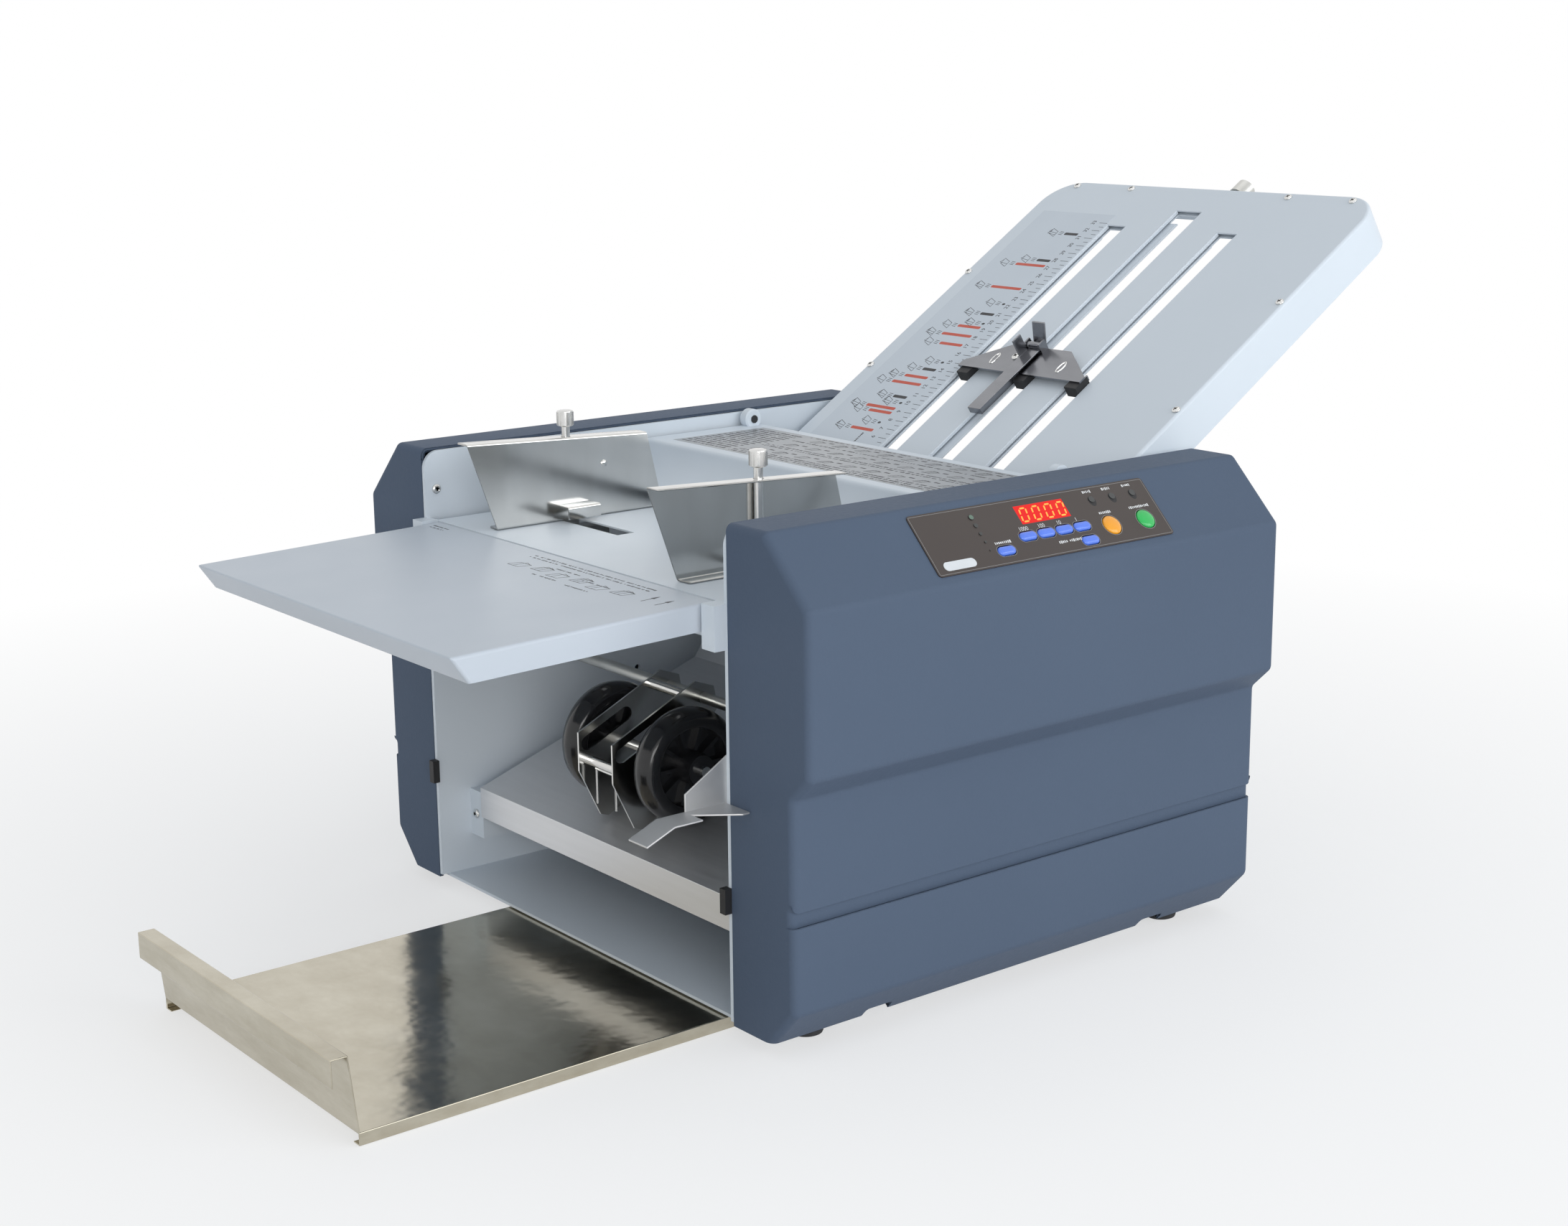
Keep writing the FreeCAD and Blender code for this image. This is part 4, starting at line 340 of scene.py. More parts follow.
# Side frames' own fittings: zinc cross bars and guide rails, brass bushes in every shaft bore,
# moulded latches for the base covers, and bright pan-head screws with crossed recesses.
coat(mottled("zinc_plate", (0.50, 0.50, 0.47), (0.66, 0.66, 0.64), (60, 4), (0.28, 0.16, 110, 3),
             ((700,), 0.00002), Metallic=1.0), "cross_bars", "carrier_bar", "motor_pulley", "fold_plate_knob")
coat(mottled("sintered_brass", (0.50, 0.34, 0.13), (0.66, 0.47, 0.20), (900, 3), (0.34, 0.2, 400),
             Metallic=1.0), "roller_bushes")
matt_black = mottled("matt_black_moulding", (0.012, 0.012, 0.013), (0.022, 0.022, 0.024), (40,),
                     (0.5, 0.14, 300), ((1300,), 0.00005))
coat(matt_black, "cover_latches", "stop_shoes")
bright_steel = mottled("bright_steel", (0.60, 0.60, 0.59), (0.74, 0.74, 0.73), (300, 3), (0.14, 0.12, 160),
                       Metallic=1.0)


class Tree(Graph):
    """A geometry tree with named inputs, each a name, a socket type and a starting value."""

    def __init__(self, name, **inputs):
        tree = bpy.data.node_groups.new(name, "GeometryNodeTree")
        super().__init__(tree)
        tree.interface.new_socket("Geometry", in_out="INPUT", socket_type="NodeSocketGeometry")
        for label, value in inputs.items():
            kind = {int: "Int", float: "Float", tuple: "Vector"}[type(value)]
            socket = tree.interface.new_socket(label, in_out="INPUT", socket_type="NodeSocket" + kind)
            socket.default_value = value
        tree.interface.new_socket("Geometry", in_out="OUTPUT", socket_type="NodeSocketGeometry")
        source = tree.nodes.new("NodeGroupInput")
        self.given = {s.name: Wire(self, s) for s in source.outputs if s.name}

    def vector(self, x=0.0, y=0.0, z=0.0):
        return self.add("ShaderNodeCombineXYZ", "Vector", {"X": x, "Y": y, "Z": z})

    def block(self, x, y, z):
        return self.add("GeometryNodeMeshCube", "Mesh", {"Size": self.vector(x, y, z)})

    def moved(self, geometry, **change):
        return self.add("GeometryNodeTransform", "Geometry", {"Geometry": geometry, **change})

    def row(self, count, offset):
        return self.add("GeometryNodeMeshLine", "Mesh", {"Count": count, "Offset": offset}, mode="OFFSET")

    def repeat(self, points, instance, **more):
        return self.add("GeometryNodeInstanceOnPoints", "Instances",
                        {"Points": points, "Instance": instance, **more})

    def index(self):
        return self.add("GeometryNodeInputIndex")

    def done(self, geometry, material):
        """End the tree: real geometry instead of instances, and its finish."""
        real = self.add("GeometryNodeRealizeInstances", "Geometry", {"Geometry": geometry})
        shown = self.add("GeometryNodeSetMaterial", "Geometry", {"Geometry": real, "Material": material})
        self.add("NodeGroupOutput", 0, {"Geometry": shown})
        return self.tree


def grown(name, points, tree, place=None, **values):
    """Run a geometry tree on points, keep what it makes as plain mesh and lay it in its place."""
    host = piece_of(name, points, [])
    modifier = host.modifiers.new(name, "NODES")
    modifier.node_group = tree
    for item in tree.interface.items_tree:
        if item.item_type == "SOCKET" and item.in_out == "INPUT" and item.name in values:
            modifier[item.identifier] = values[item.name]
    obj = linked(name, baked(host))
    bpy.data.objects.remove(host)
    settle(obj)
    if place:
        for vertex in obj.data.vertices:
            vertex.co = place(*(vertex.co * 1000))
    return obj


def head_tree(name, material):
    """A pan-head screw on every point: a domed disc with a crossed recess, each turned at random."""
    tree = Tree(name, Radius=0.0034, Height=0.002, Turn=(0, 0, 0), Seed=4)
    radius, height = tree.given["Radius"], tree.given["Height"]
    disc = tree.add("GeometryNodeMeshCylinder", "Mesh",
                    {"Vertices": 28, "Radius": radius, "Depth": height * 0.45})
    shape = tree.moved(disc, Translation=tree.vector(z=height * 0.225))
    for grow, rise in ((0.93, 0.20), (0.82, 0.20), (0.6, 0.15)):
        facing = tree.add("ShaderNodeSeparateXYZ", "Z", {"Vector": tree.add("GeometryNodeInputNormal")})
        push = tree.add("GeometryNodeExtrudeMesh", "Mesh", {
            "Mesh": shape, "Selection": facing.above(0.9), "Offset Scale": height * rise,
            "Individual": False})
        top = Wire(tree, push.socket.node.outputs["Top"])
        shape = tree.add("GeometryNodeScaleElements", "Geometry",
                         {"Geometry": push, "Selection": top, "Scale": grow})
    cutter = tree.tree.nodes.new("GeometryNodeJoinGeometry")
    sizes = radius * 1.15, radius * 0.26
    for length, width in (sizes, sizes[::-1]):
        bar = tree.moved(tree.block(length, width, height * 0.9), Translation=tree.vector(z=height * 1.0))
        tree.tree.links.new(bar.socket, cutter.inputs["Geometry"])
    crossed = tree.add("GeometryNodeMeshBoolean", "Mesh", {
        "Mesh 1": shape, "Mesh 2": Wire(tree, cutter.outputs["Geometry"])}, operation="DIFFERENCE")
    spin = tree.add("FunctionNodeRandomValue", "Value_001",
                    {"Min_001": 0.0, "Max_001": 1.5, "Seed": tree.given["Seed"]}, data_type="FLOAT")
    own = tree.add("FunctionNodeRotateEuler", "Rotation",
                   {"Rotation": tree.given["Turn"], "Axis": (0, 0, 1), "Angle": spin},
                   rotation_type="AXIS_ANGLE", space="LOCAL")
    return tree.done(tree.repeat(tree.given["Geometry"], crossed, Rotation=own), material)


pan_heads = head_tree("pan_head_screws", bright_steel)


def screws(name, places, turn, seed, radius=3.4, height=2.0):
    """Pan-head screws whose heads start at given points and rise along a turned Z."""
    return grown(name, places, pan_heads, Radius=radius / 1000, Height=height / 1000, Turn=turn, Seed=seed)


quarter = math.pi / 2
frame_heads = [
    screws("heads_a", [at(9, -171.5, 291)], (-quarter, 0, 0), 4),
    screws("heads_b", [at(9, 171.5, 291)], (quarter, 0, 0), 9),
    screws("heads_c", [at(26, y, 54) for y in (-163.25, 163.25)], (0, -quarter, 0), 2),
    screws("heads_d", [at(12, -170.3, 166), at(24, -170.3, 161)], (-quarter, 0, 0), 5)]
belongs(merged("frame_screw_heads", frame_heads), bright_steel, "machine", "frame_screws",
        slot="bright_metal")


# Rollers: ground steel journals under grey rubber sleeves. The drive's belts are black neoprene, the
# motor a grey enamelled can bolted to the drive frame, the separator pad cork in rubber.
coat(mottled("roller_rubber", (0.055, 0.057, 0.06), (0.085, 0.087, 0.09), (120, 3), (0.55, 0.2, 70),
             ((500, 1, (1, 0.02, 1)), 0.00008)), "feed_roller", *[f"fold_roller_{i}" for i in (1, 2, 3, 4)])
coat(mottled("belt_neoprene", (0.014, 0.014, 0.015), (0.03, 0.03, 0.03), (300,), (0.6, 0.25, 80),
             ((1400,), 0.00006)), "drive_belts")
coat(mottled("motor_enamel", (0.09, 0.10, 0.11), (0.13, 0.14, 0.15), (25,), (0.4, 0.2, 60),
             ((600,), 0.00008)), "motor_body")
cork = Finish("cork_rubber")
coat(cork.shade(Base_Color=cork.blend(cork.cells(420), (0.30, 0.20, 0.12), (0.16, 0.11, 0.07)),
                Roughness=0.8 + cork.noise(300) * 0.15, Normal=cork.bump(cork.cells(420), 0.0002)),
     "separator_pad")


# Boards and mains inlet: green solder mask over glass laminate, with tinned pads; a black inlet
# moulding in the rear wall with three tinned pins and its rocker.
laminate = Finish("solder_mask")
pads = laminate.cells(260, "F1")
coat(laminate.shade(
    Base_Color=laminate.blend((0.22 - pads).above(0.0), (0.012, 0.10, 0.045), (0.50, 0.50, 0.46)),
    Roughness=0.3 + laminate.noise(200) * 0.15,
    Normal=laminate.bump(laminate.noise(350, 1, (1, 1, 3)), 0.00006)), "control_board")
coat(mottled("inlet_moulding", (0.014, 0.014, 0.015), (0.024, 0.024, 0.026), (60,), (0.42, 0.15, 250),
             ((1200,), 0.00004)), "power_inlet", "power_rocker")


# Exit chute: one bent sheet of brushed stainless under the stacker wheels, with folded cheeks
# that are screwed to the frames' lugs.
def softened(name, radius, node):
    """A frame node with its doubles merged and every sharp edge a little rounded."""
    work = bmesh.new()
    work.from_mesh(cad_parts[node].data)
    bmesh.ops.remove_doubles(work, verts=work.verts, dist=2e-6)
    bmesh.ops.join_triangles(work, faces=work.faces, angle_face_threshold=math.radians(0.5),
                             angle_shape_threshold=math.pi)
    obj = made(name, work)
    soft = obj.modifiers.new("soft", "BEVEL")
    soft.width, soft.segments, soft.limit_method = radius / 1000, 2, "ANGLE"
    soft.angle_limit = math.radians(35)
    return settle(obj, 45)


brushed = Finish("brushed_stainless")
streak = brushed.noise(240, 3, (1.0, 0.05, 1.0), 0.7)
brushed_steel = brushed.shade(
    Base_Color=brushed.blend(streak, (0.66, 0.665, 0.675), (0.76, 0.765, 0.78)), Metallic=0.85,
    Roughness=0.34 + streak * 0.16 + brushed.noise(14) * 0.06, Normal=brushed.bump(streak, 0.00003))
belongs(softened("chute_sheet", 0.4, "exit_chute"), brushed_steel, "machine", "exit_chute", slot="stainless")


# Stacker wheels: two glossy black nylon wheels with ribbed discs and rounded rims on one bright shaft.
# They hang in a carrier of two polished plates, which swings from the zinc bar behind them.
black_nylon = mottled("glossy_black_nylon", (0.008, 0.008, 0.009), (0.018, 0.018, 0.02), (30,),
                      (0.09, 0.12, 45, 3), ((90,), 0.00010, 0.35))
polished_steel = mottled("polished_stainless", (0.58, 0.575, 0.555), (0.74, 0.735, 0.715),
                         (60, 4, (1, 1, 0.25)), (0.10, 0.12, 35, 4), ((9, 2), 0.0006, 0.35), Metallic=1.0)


def rib_tree(name, material):
    """Radial ribs: a small bar repeated round a centre."""
    tree = Tree(name, Count=10, Inner=0.011, Outer=0.028, Thickness=0.0028, Depth=0.012)
    inner, outer = tree.given["Inner"], tree.given["Outer"]
    bar = tree.block(outer - inner, tree.given["Depth"], tree.given["Thickness"])
    out = tree.moved(bar, Translation=tree.vector((outer + inner) * 0.5))
    angle = tree.vector(y=tree.index() * math.tau / tree.given["Count"])
    spread = tree.repeat(tree.row(tree.given["Count"], (0, 0, 0)), out, Rotation=angle)
    return tree.done(tree.repeat(tree.given["Geometry"], spread), material)


wheel_ribs = rib_tree("wheel_ribs", black_nylon)
tyre = [(27, 9), (28.5, 9.8), (33, 9.9), (36, 8.2), (38.2, 5.2), (39, 1.2)]
wheel_rim = [(r, -y) for r, y in tyre] + tyre[::-1] + [
    (26.4, 7.6), (26.4, 2), (11, 2), (11, 12), (10, 17), (3.5, 17), (3.5, -10), (10.2, -10), (11, -9.2),
    (11, -2), (26.4, -2), (26.4, -7.6), (27, -9)]
wheel_parts = []
for side in (-1, 1):
    hub = at(63.8, side * 42, 130.8)
    wheel = turned(f"wheel_{side}", [(r, side * y) for r, y in wheel_rim], hub, "y", 72)
    ribs = grown(f"ribs_{side}", [hub], wheel_ribs, Count=10, Inner=0.0108, Outer=0.0268,
                 Thickness=0.0026, Depth=0.012)
    wheel_parts += [settle(wheel, 32), ribs]
belongs(merged("stacker_wheel_pair", wheel_parts), black_nylon, "stacker_wheels", "stacker_wheels",
        slot="black_plastic")
coat(bright_steel, "wheel_shaft", "carrier_wire")
coat(polished_steel, "wheel_carrier")
satin_steel = mottled("satin_stainless", (0.56, 0.56, 0.56), (0.66, 0.66, 0.66), (40, 3), (0.44, 0.1, 200, 2),
                      ((500,), 0.00003), Metallic=0.8)
belongs(softened("exit_deflector", 0.4, "sheet_deflector"), satin_steel, "machine", "sheet_deflector",
        slot="stainless")


# Side guides: folded polished stainless, each on a slider under the table, with a sprung hold-down
# clip, a rivet, and a knurled clamp knob on a bright post.
GAUGE, BEND = 1.2, 1.6


def outwards(obj, inner):
    """Turn an open sheet's faces away from a point inside it."""
    if sum(f.normal.dot(Vector(f.center) - inner) * f.area for f in obj.data.polygons) < 0:
        obj.data.flip_normals()
    return obj


def thickened(obj, wall):
    thick = obj.modifiers.new("gauge", "SOLIDIFY")
    thick.thickness, thick.offset = wall / 1000, -1
    return thick


def folded(name, faces, inner, bend=BEND, steps=4):
    """Bent sheet metal: outer faces, their bends rounded, thickened towards the inside."""
    points, polygons = [], []
    for corners in faces:
        polygons.append(tuple(range(len(points), len(points) + len(corners))))
        points += corners
    obj = outwards(piece_of(name, points, polygons), inner)
    rounding = obj.modifiers.new("bends", "BEVEL")
    rounding.width, rounding.segments, rounding.limit_method = bend / 1000, steps, "ANGLE"
    rounding.angle_limit = math.radians(20)
    thickened(obj, GAUGE).use_even_offset = True
    return obj


def pierce(obj, *cutters):
    """Cut shapes out of a piece."""
    for i, cutter in enumerate(cutters):
        hole = obj.modifiers.new(f"hole_{i}", "BOOLEAN")
        hole.object, hole.operation, hole.solver = cutter, "DIFFERENCE", "EXACT"
    settle(obj)
    for cutter in cutters:
        bpy.data.objects.remove(cutter)
    return obj


def bar_between(name, low, high, round_off=0.0, frame_of=at):
    """A box between two corners in millimetres, its edges a little rounded."""
    corners = [frame_of(*spot) for spot in itertools.product(*zip(low, high))]
    obj = piece_of(name, corners, [(0, 1, 3, 2), (4, 6, 7, 5), (0, 4, 5, 1), (2, 3, 7, 6), (0, 2, 6, 4),
                                   (1, 5, 7, 3)])
    if round_off:
        soft = obj.modifiers.new("soft", "BEVEL")
        soft.width, soft.segments = round_off / 1000, 3
        settle(obj)
    return obj


POST_X, KNOB_Z = 75.5, 340.7
post_profile = [
    (0, 249), (3, 249), (3, 334.9), (3.6, 335.6), (5.2, 335.6), (5.7, 336.1), (5.7, 345.2), (5.4, 345.8),
    (4.2, 346.25), (2, 346.4), (0, 346.4)]
knob_ridges = rib_tree("knurl_ridges", bright_steel)
for side, name in ((-1, "operator"), (1, "drive")):
    inner, outer, middle = side * 103, side * 115, side * 108
    low, front_top, rear_top = 271.0, 331.7, 325.0
    sheet = folded(f"{name}_guide_sheet", [
        [at(17.2, outer, low), at(152, outer, low), at(152, inner, low), at(16, inner, low)],
        [at(16, inner, low), at(152, inner, low), at(139.5, inner, rear_top), at(-5.4, inner, front_top)],
        [at(-5.4, inner, front_top), at(139.5, inner, rear_top), at(139.5, outer, rear_top),
         at(-5.4, outer, front_top)]], at(75, side * 109, 300))
    post_hole = [(0, -8), (3.4, -8), (3.4, 8), (0, 8)]
    pierce(sheet, turned("post_hole", post_hole, at(POST_X, middle, 328)))
    root, tip, clip_top, clip_low = inner + side * 0.6, inner - side * 14, 282.6, 274
    clip = folded("clip", [
        [at(64, root, clip_top), at(90, root, clip_top), at(90, tip, clip_top), at(64, tip, clip_top)],
        [at(64, tip, clip_top), at(90, tip, clip_top), at(90, tip, clip_low), at(64, tip, clip_low)]],
        at(77, inner - side * 7, 276))
    rivet = [(0, -side * 1.0), (1.6, -side * 1.0), (2.4, -side * 0.4), (2.4, 0), (0, 0)]
    guide_parts = [
        sheet,
        bar_between("slider", (45.5, middle - 6, 250.5), (105.5, middle + 6, 265.5), 0.8),
        bar_between("neck", (69.1, middle - 4, 264), (81.9, middle + 4, 272.2), 0.3),
        settle(clip),
        settle(turned("rivet", rivet, at(103, inner, 307), "y", 24))]
    belongs(merged(f"{name}_side_guide", guide_parts), polished_steel, f"{name}_guide", f"{name}_guide",
            slot="stainless")
    post = settle(turned("post", post_profile, at(POST_X, middle, 0)), 30)
    ridges = grown("ridges", [(0, 0, 0)], knob_ridges, Count=40, Inner=0.005, Outer=0.0059,
                   Thickness=0.00045, Depth=0.0086)
    ridges.data.transform(Matrix.Translation(at(POST_X, middle, KNOB_Z)) @ Matrix.Rotation(quarter, 4, "X"))
    belongs(merged(f"{name}_clamp_knob", [post, ridges]), bright_steel, f"{name}_guide_knob",
            f"{name}_guide_knob", slot="bright_metal")


# Feed tray: a folded pan in light powder coat, given painted shade, its front edge raked back, hinged on the
# frames' pins.
# Two rows of small print, sheet icons and two arrows lie along its rear edge.
tray_dip = math.radians(1.54)
TRAY_LONG, TRAY_HALF, TRAY_DEEP, TRAY_RAKED = -178.6, 159, -16.7, -167.6


def on_tray(x, y, z):
    """A point in the tray's own lengths, back from its rear edge."""
    return at(2.0 + x * math.cos(tray_dip) - z * math.sin(tray_dip), y,
              270.5 + x * math.sin(tray_dip) + z * math.cos(tray_dip))


tray_faces = [
    [on_tray(TRAY_LONG, -TRAY_HALF, 0), on_tray(0, -TRAY_HALF, 0), on_tray(0, TRAY_HALF, 0),
     on_tray(TRAY_LONG, TRAY_HALF, 0)],
    [on_tray(TRAY_LONG, -TRAY_HALF, 0), on_tray(TRAY_LONG, TRAY_HALF, 0),
     on_tray(TRAY_RAKED, TRAY_HALF, TRAY_DEEP), on_tray(TRAY_RAKED, -TRAY_HALF, TRAY_DEEP)]]
for y in (-TRAY_HALF, TRAY_HALF):
    tray_faces.append([on_tray(TRAY_LONG, y, 0), on_tray(TRAY_RAKED, y, TRAY_DEEP), on_tray(0, y, TRAY_DEEP),
                       on_tray(0, y, 0)])
tray = folded("feed_tray_pan", tray_faces, on_tray(-90, 0, -9), 2.0, 5)
hinge_hole = [(0, -170), (2.45, -170), (2.45, 170), (0, 170)]
pierce(tray, turned("hinge_hole", hinge_hole, on_tray(-6, 0, -4), "y", 24))
# The tray's coat is the frames' powder coat in darker tones: painted shade.
belongs(tray, mottled("tray_powder_coat", (0.555, 0.60, 0.655), (0.60, 0.64, 0.70), (7, 2.0), **powder),
        "feed_tray", "feed_tray", slot="light_paint")
black_ink = mottled("black_ink", (0.018, 0.018, 0.02), (0.045, 0.045, 0.05), (400,), (0.5, 0.1, 200))


def print_tree(name, material):
    """A row of small bars with uneven lengths and gaps at every point: a stand-in for fine print."""
    tree = Tree(name, Marks=60, Pitch=0.0014, Tall=0.0016, Gauge=0.00005, Gaps=0.2, Seed=3)
    pitch, seed = tree.given["Pitch"], tree.given["Seed"]
    rows = tree.repeat(tree.given["Geometry"], tree.row(tree.given["Marks"], tree.vector(pitch)))
    spots = tree.add("GeometryNodeRealizeInstances", "Geometry", {"Geometry": rows})
    gap = tree.add("FunctionNodeRandomValue", "Value_003",
                   {"Probability": tree.given["Gaps"], "Seed": seed}, data_type="BOOLEAN")
    kept = tree.add("GeometryNodeDeleteGeometry", "Geometry",
                    {"Geometry": spots, "Selection": gap}, domain="POINT")
    bar = tree.block(pitch * 0.62, tree.given["Tall"], tree.given["Gauge"])
    uneven = tree.add("FunctionNodeRandomValue", "Value",
                      {"Min": (0.6, 0.5, 1.0), "Max": (1.35, 1.0, 1.0), "Seed": seed},
                      data_type="FLOAT_VECTOR")
    return tree.done(tree.repeat(kept, bar, Scale=uneven), material)


fine_print = print_tree("fine_print", black_ink)


def printed(name, rows, marks, place, rise, tall=1.6, pitch=1.4, gaps=0.2, seed=3):
    """Rows of stand-in print laid on a plane: each row starts at (u, v) and runs along u."""
    return grown(name, [(u / 1000, v / 1000, 0) for u, v in rows], fine_print,
                 lambda u, v, w: place(u, v, rise + 0.025 + w),
                 Marks=marks, Pitch=pitch / 1000, Tall=tall / 1000, Gaps=gaps, Seed=seed)


def flat_shapes(name, outlines, place, rise, gauge=0.06):
    """Thin printed or laid-on shapes: outlines in their own plane, given a little thickness."""
    work = bmesh.new()
    for outline in outlines:
        low = [work.verts.new(place(u, v, rise)) for u, v in outline]
        high = [work.verts.new(place(u, v, rise + gauge)) for u, v in outline]
        work.faces.new(high)
        work.faces.new(low[::-1])
        for i in range(len(low)):
            k = (i + 1) % len(low)
            work.faces.new((low[i], low[k], high[k], high[i]))
    bmesh.ops.recalc_face_normals(work, faces=work.faces)
    return made(name, work)


def stroke(u0, v0, u1, v1, wide=0.35):
    """The outline of one drawn line."""
    along = Vector((u1 - u0, v1 - v0)).normalized() * wide / 2
    over = Vector((-along.y, along.x))
    ends = Vector((u0, v0)) - along, Vector((u1, v1)) + along
    return [tuple(p) for p in (ends[0] - over, ends[1] - over, ends[1] + over, ends[0] + over)]


def ring_of(points):
    """Each side of a closed outline, as its two ends."""
    return zip(points, points[1:] + points[:1])


def folded_sheet_icon(u, v, wide, deep, folds=1):
    """A line drawing of a folded sheet: its outline, raised flap and folds."""
    lean = deep * 0.45
    lines = [stroke(*p, *q) for p, q in ring_of(
        [(u, v), (u + wide, v), (u + wide + lean, v + deep), (u + lean, v + deep)])]
    for i in range(folds):
        fold_u, peak = u + wide * (i + 1) / (folds + 1), v + deep * 1.25
        lines.append(stroke(fold_u, v, fold_u + lean * 0.5, peak))
        lines.append(stroke(fold_u + lean * 0.5, peak, u + wide + lean * (0.6 + 0.2 * i), v + deep))
    return lines


def tray_print(u, v, lift):
    """On the feed tray's top, u towards the operator's side and v towards the rollers."""
    return on_tray(v, -u, lift)


PRINT_RISE = 0.02
tray_marks = [
    printed("tray_print_a", [(-20, -9), (-20, -13)], 96, tray_print, PRINT_RISE, seed=5, gaps=0.26),
    printed("tray_print_b", [(22, -20), (60, -26), (22, -38), (60, -40)], 20, tray_print, PRINT_RISE,
            seed=8, gaps=0.3),
    printed("tray_print_c", [(-150, -8), (-150, -12)], 14, tray_print, PRINT_RISE, seed=12)]
tray_lines = []
for i in range(6):
    tray_lines += folded_sheet_icon(-14 + i * 22, -34 + (i % 2) * 3, 12, 8, 1 + i % 2)
for u in (128, 142):
    tray_lines.append([(u - 1.6, -22), (u + 1.6, -22), (u, -16)])
    tray_lines.append(stroke(u, -30, u, -22, 0.7))
tray_marks.append(flat_shapes("tray_lines", tray_lines, tray_print, PRINT_RISE, 0.05))
belongs(merged("feed_tray_print", tray_marks), black_ink, "feed_tray", slot="panel_print")


# Top cover: a sheet lid in light powder coat, coved down to the feed slot, on two bosses whose pivot
# pins stay with the frames. A thin grey chart film with rows of small print lies on its flat.
LID_TOP, COVE, COVE_X, PIVOT_X, PIVOT_Z = 308, 28, 155, 278, 313
cove = [(COVE_X + COVE * math.cos(a), LID_TOP + COVE * math.sin(a))
        for a in (math.radians(-90 + i * 90 / 14) for i in range(15))]
lid_profile = [(x, z) for x, z in cove if z < LID_TOP - 2] + [
    (182.9, 306.3), (183.9, 307.6), (185.6, LID_TOP), (286.4, LID_TOP), (287.6, 307.5), (288, 306.4)]
lid = piece_of("top_cover_sheet", [at(x, y, z) for x, z in lid_profile for y in (-167.5, 167.5)],
               [(2 * i, 2 * i + 1, 2 * i + 3, 2 * i + 2) for i in range(len(lid_profile) - 1)])
if lid.data.polygons[len(lid.data.polygons) - 3].normal.z < 0:
    lid.data.flip_normals()
thickened(lid, 2)
lid_parts = [settle(lid)]
pin_ends = []
for side in (-1, 1):
    boss = [(3.06, 160), (6.4, 160), (7.5, 161), (7.5, 167.5), (3.06, 167.5), (3.06, 160)]
    pin = [(0, 159.2), (3.0, 159.2), (3.0, 160.4), (0, 160.4)]
    centre = at(PIVOT_X, 0, PIVOT_Z)
    lid_parts.append(settle(turned(f"boss_{side}", [(r, side * y) for r, y in boss], centre, "y", 40)))
    pin_ends.append(turned(f"boss_end_{side}", [(r, side * y) for r, y in pin], centre, "y", 24))
belongs(merged("top_cover_lid", lid_parts), powder_coat, "top_cover", "top_cover", slot="light_paint")
belongs(merged("pivot_pin_ends", pin_ends), matt_black, "machine", slot="black_plastic")


def lid_top(u, v, lift):
    """On the top cover's flat: u towards the operator's side, v back from the covers' front."""
    return at(v, -u, LID_TOP + lift)


FILM = 0.08
chart_film = mottled("grey_chart_film", (0.32, 0.335, 0.355), (0.35, 0.365, 0.385), (25,), (0.26, 0.1, 80))
chart_outline = [(-148, 194.5), (145, 194.5), (145, 277.5), (-148, 277.5)]
belongs(flat_shapes("chart_film", [chart_outline], lid_top, 0.0, FILM), chart_film, "top_cover",
        slot="panel_print")
chart_marks = [printed("chart_dense", [(-144, 200 + i * 5.4) for i in range(14)], 36, lid_top, FILM,
                       2.7, 1.45, 0.14, 21)]
for part, rows, gaps, seed in (("front", (198.5, 203.0, 207.5), 0.22, 31), ("middle", (229, 233.5), 0.26, 41),
                               ("back", (256, 274), 0.32, 51)):
    chart_marks.append(printed(f"chart_{part}", [(-86, v) for v in rows], 156, lid_top, FILM,
                               2.3, 1.45, gaps, seed))
chart_lines = []
for i in range(9):
    for row, v in enumerate((213, 239.5, 261)):
        u = -80 + i * 25 + row * 4
        chart_lines += folded_sheet_icon(u, v, 8.5, 6, 1 + (i + row) % 2)
        chart_lines.append([(u + 14, v + 6), (u + 19, v + 6), (u + 19, v + 7.8), (u + 14, v + 7.8)])
chart_marks.append(flat_shapes("chart_lines", chart_lines, lid_top, FILM, 0.05))
belongs(merged("chart_print", chart_marks), black_ink, "top_cover", slot="panel_print")


# Fold plate: a folded panel in light powder coat with three slots, their lips rolled up, closed by a
# back panel, with pan-head screws round its edge. A pale scale film with its print lies beside them.
plate_tilt = math.radians(32.5)


def on_plate(s, y, lift):
    """A point on the fold plate: up its length from the scale's zero, across, and off its face."""
    return at(279.35 + s * math.cos(plate_tilt) - lift * math.sin(plate_tilt), y,
              271.2 + s * math.sin(plate_tilt) + lift * math.cos(plate_tilt))


plate_heads = [on_plate(375.3, side * 164 * share, 0) for side in (-1, 1) for share in (0.85, 0.485)]
plate_heads += [on_plate(s, side * 159.8, 0) for side in (-1, 1) for s in (135, 256.5)]
along_plate = (0, -plate_tilt, 0)
belongs(screws("fold_plate_screws", plate_heads, along_plate, 11, 3.1, 1.7), bright_steel, "machine",
        "plate_screws", slot="bright_metal")
belongs(softened("fold_plate_top", 0.45, "fold_plate_panel"), powder_coat, "machine", "fold_plate_panel",
        slot="light_paint")
belongs(softened("fold_plate_floor", 0.5, "fold_plate_back"), powder_coat, "machine", "fold_plate_back",
        slot="light_paint")
lips = []
for low_y, wide, end in ((47.4, 20.0, 328.5), (-12.6, 26.2, 352.0), (-65.5, 20.0, 328.5)):
    high_y = low_y + wide
    for name, start, stop, radius in (
            ("upper_lip", (40, high_y - 1.3, -2.9), (end, high_y + 0.2, 0.12), 0.62),
            ("lower_lip", (40, low_y + 17.7, -5.4), (end - 11, low_y + 19.0, -3.85), 0.6)):
        lips.append(bar_between(name, start, stop, radius, on_plate))
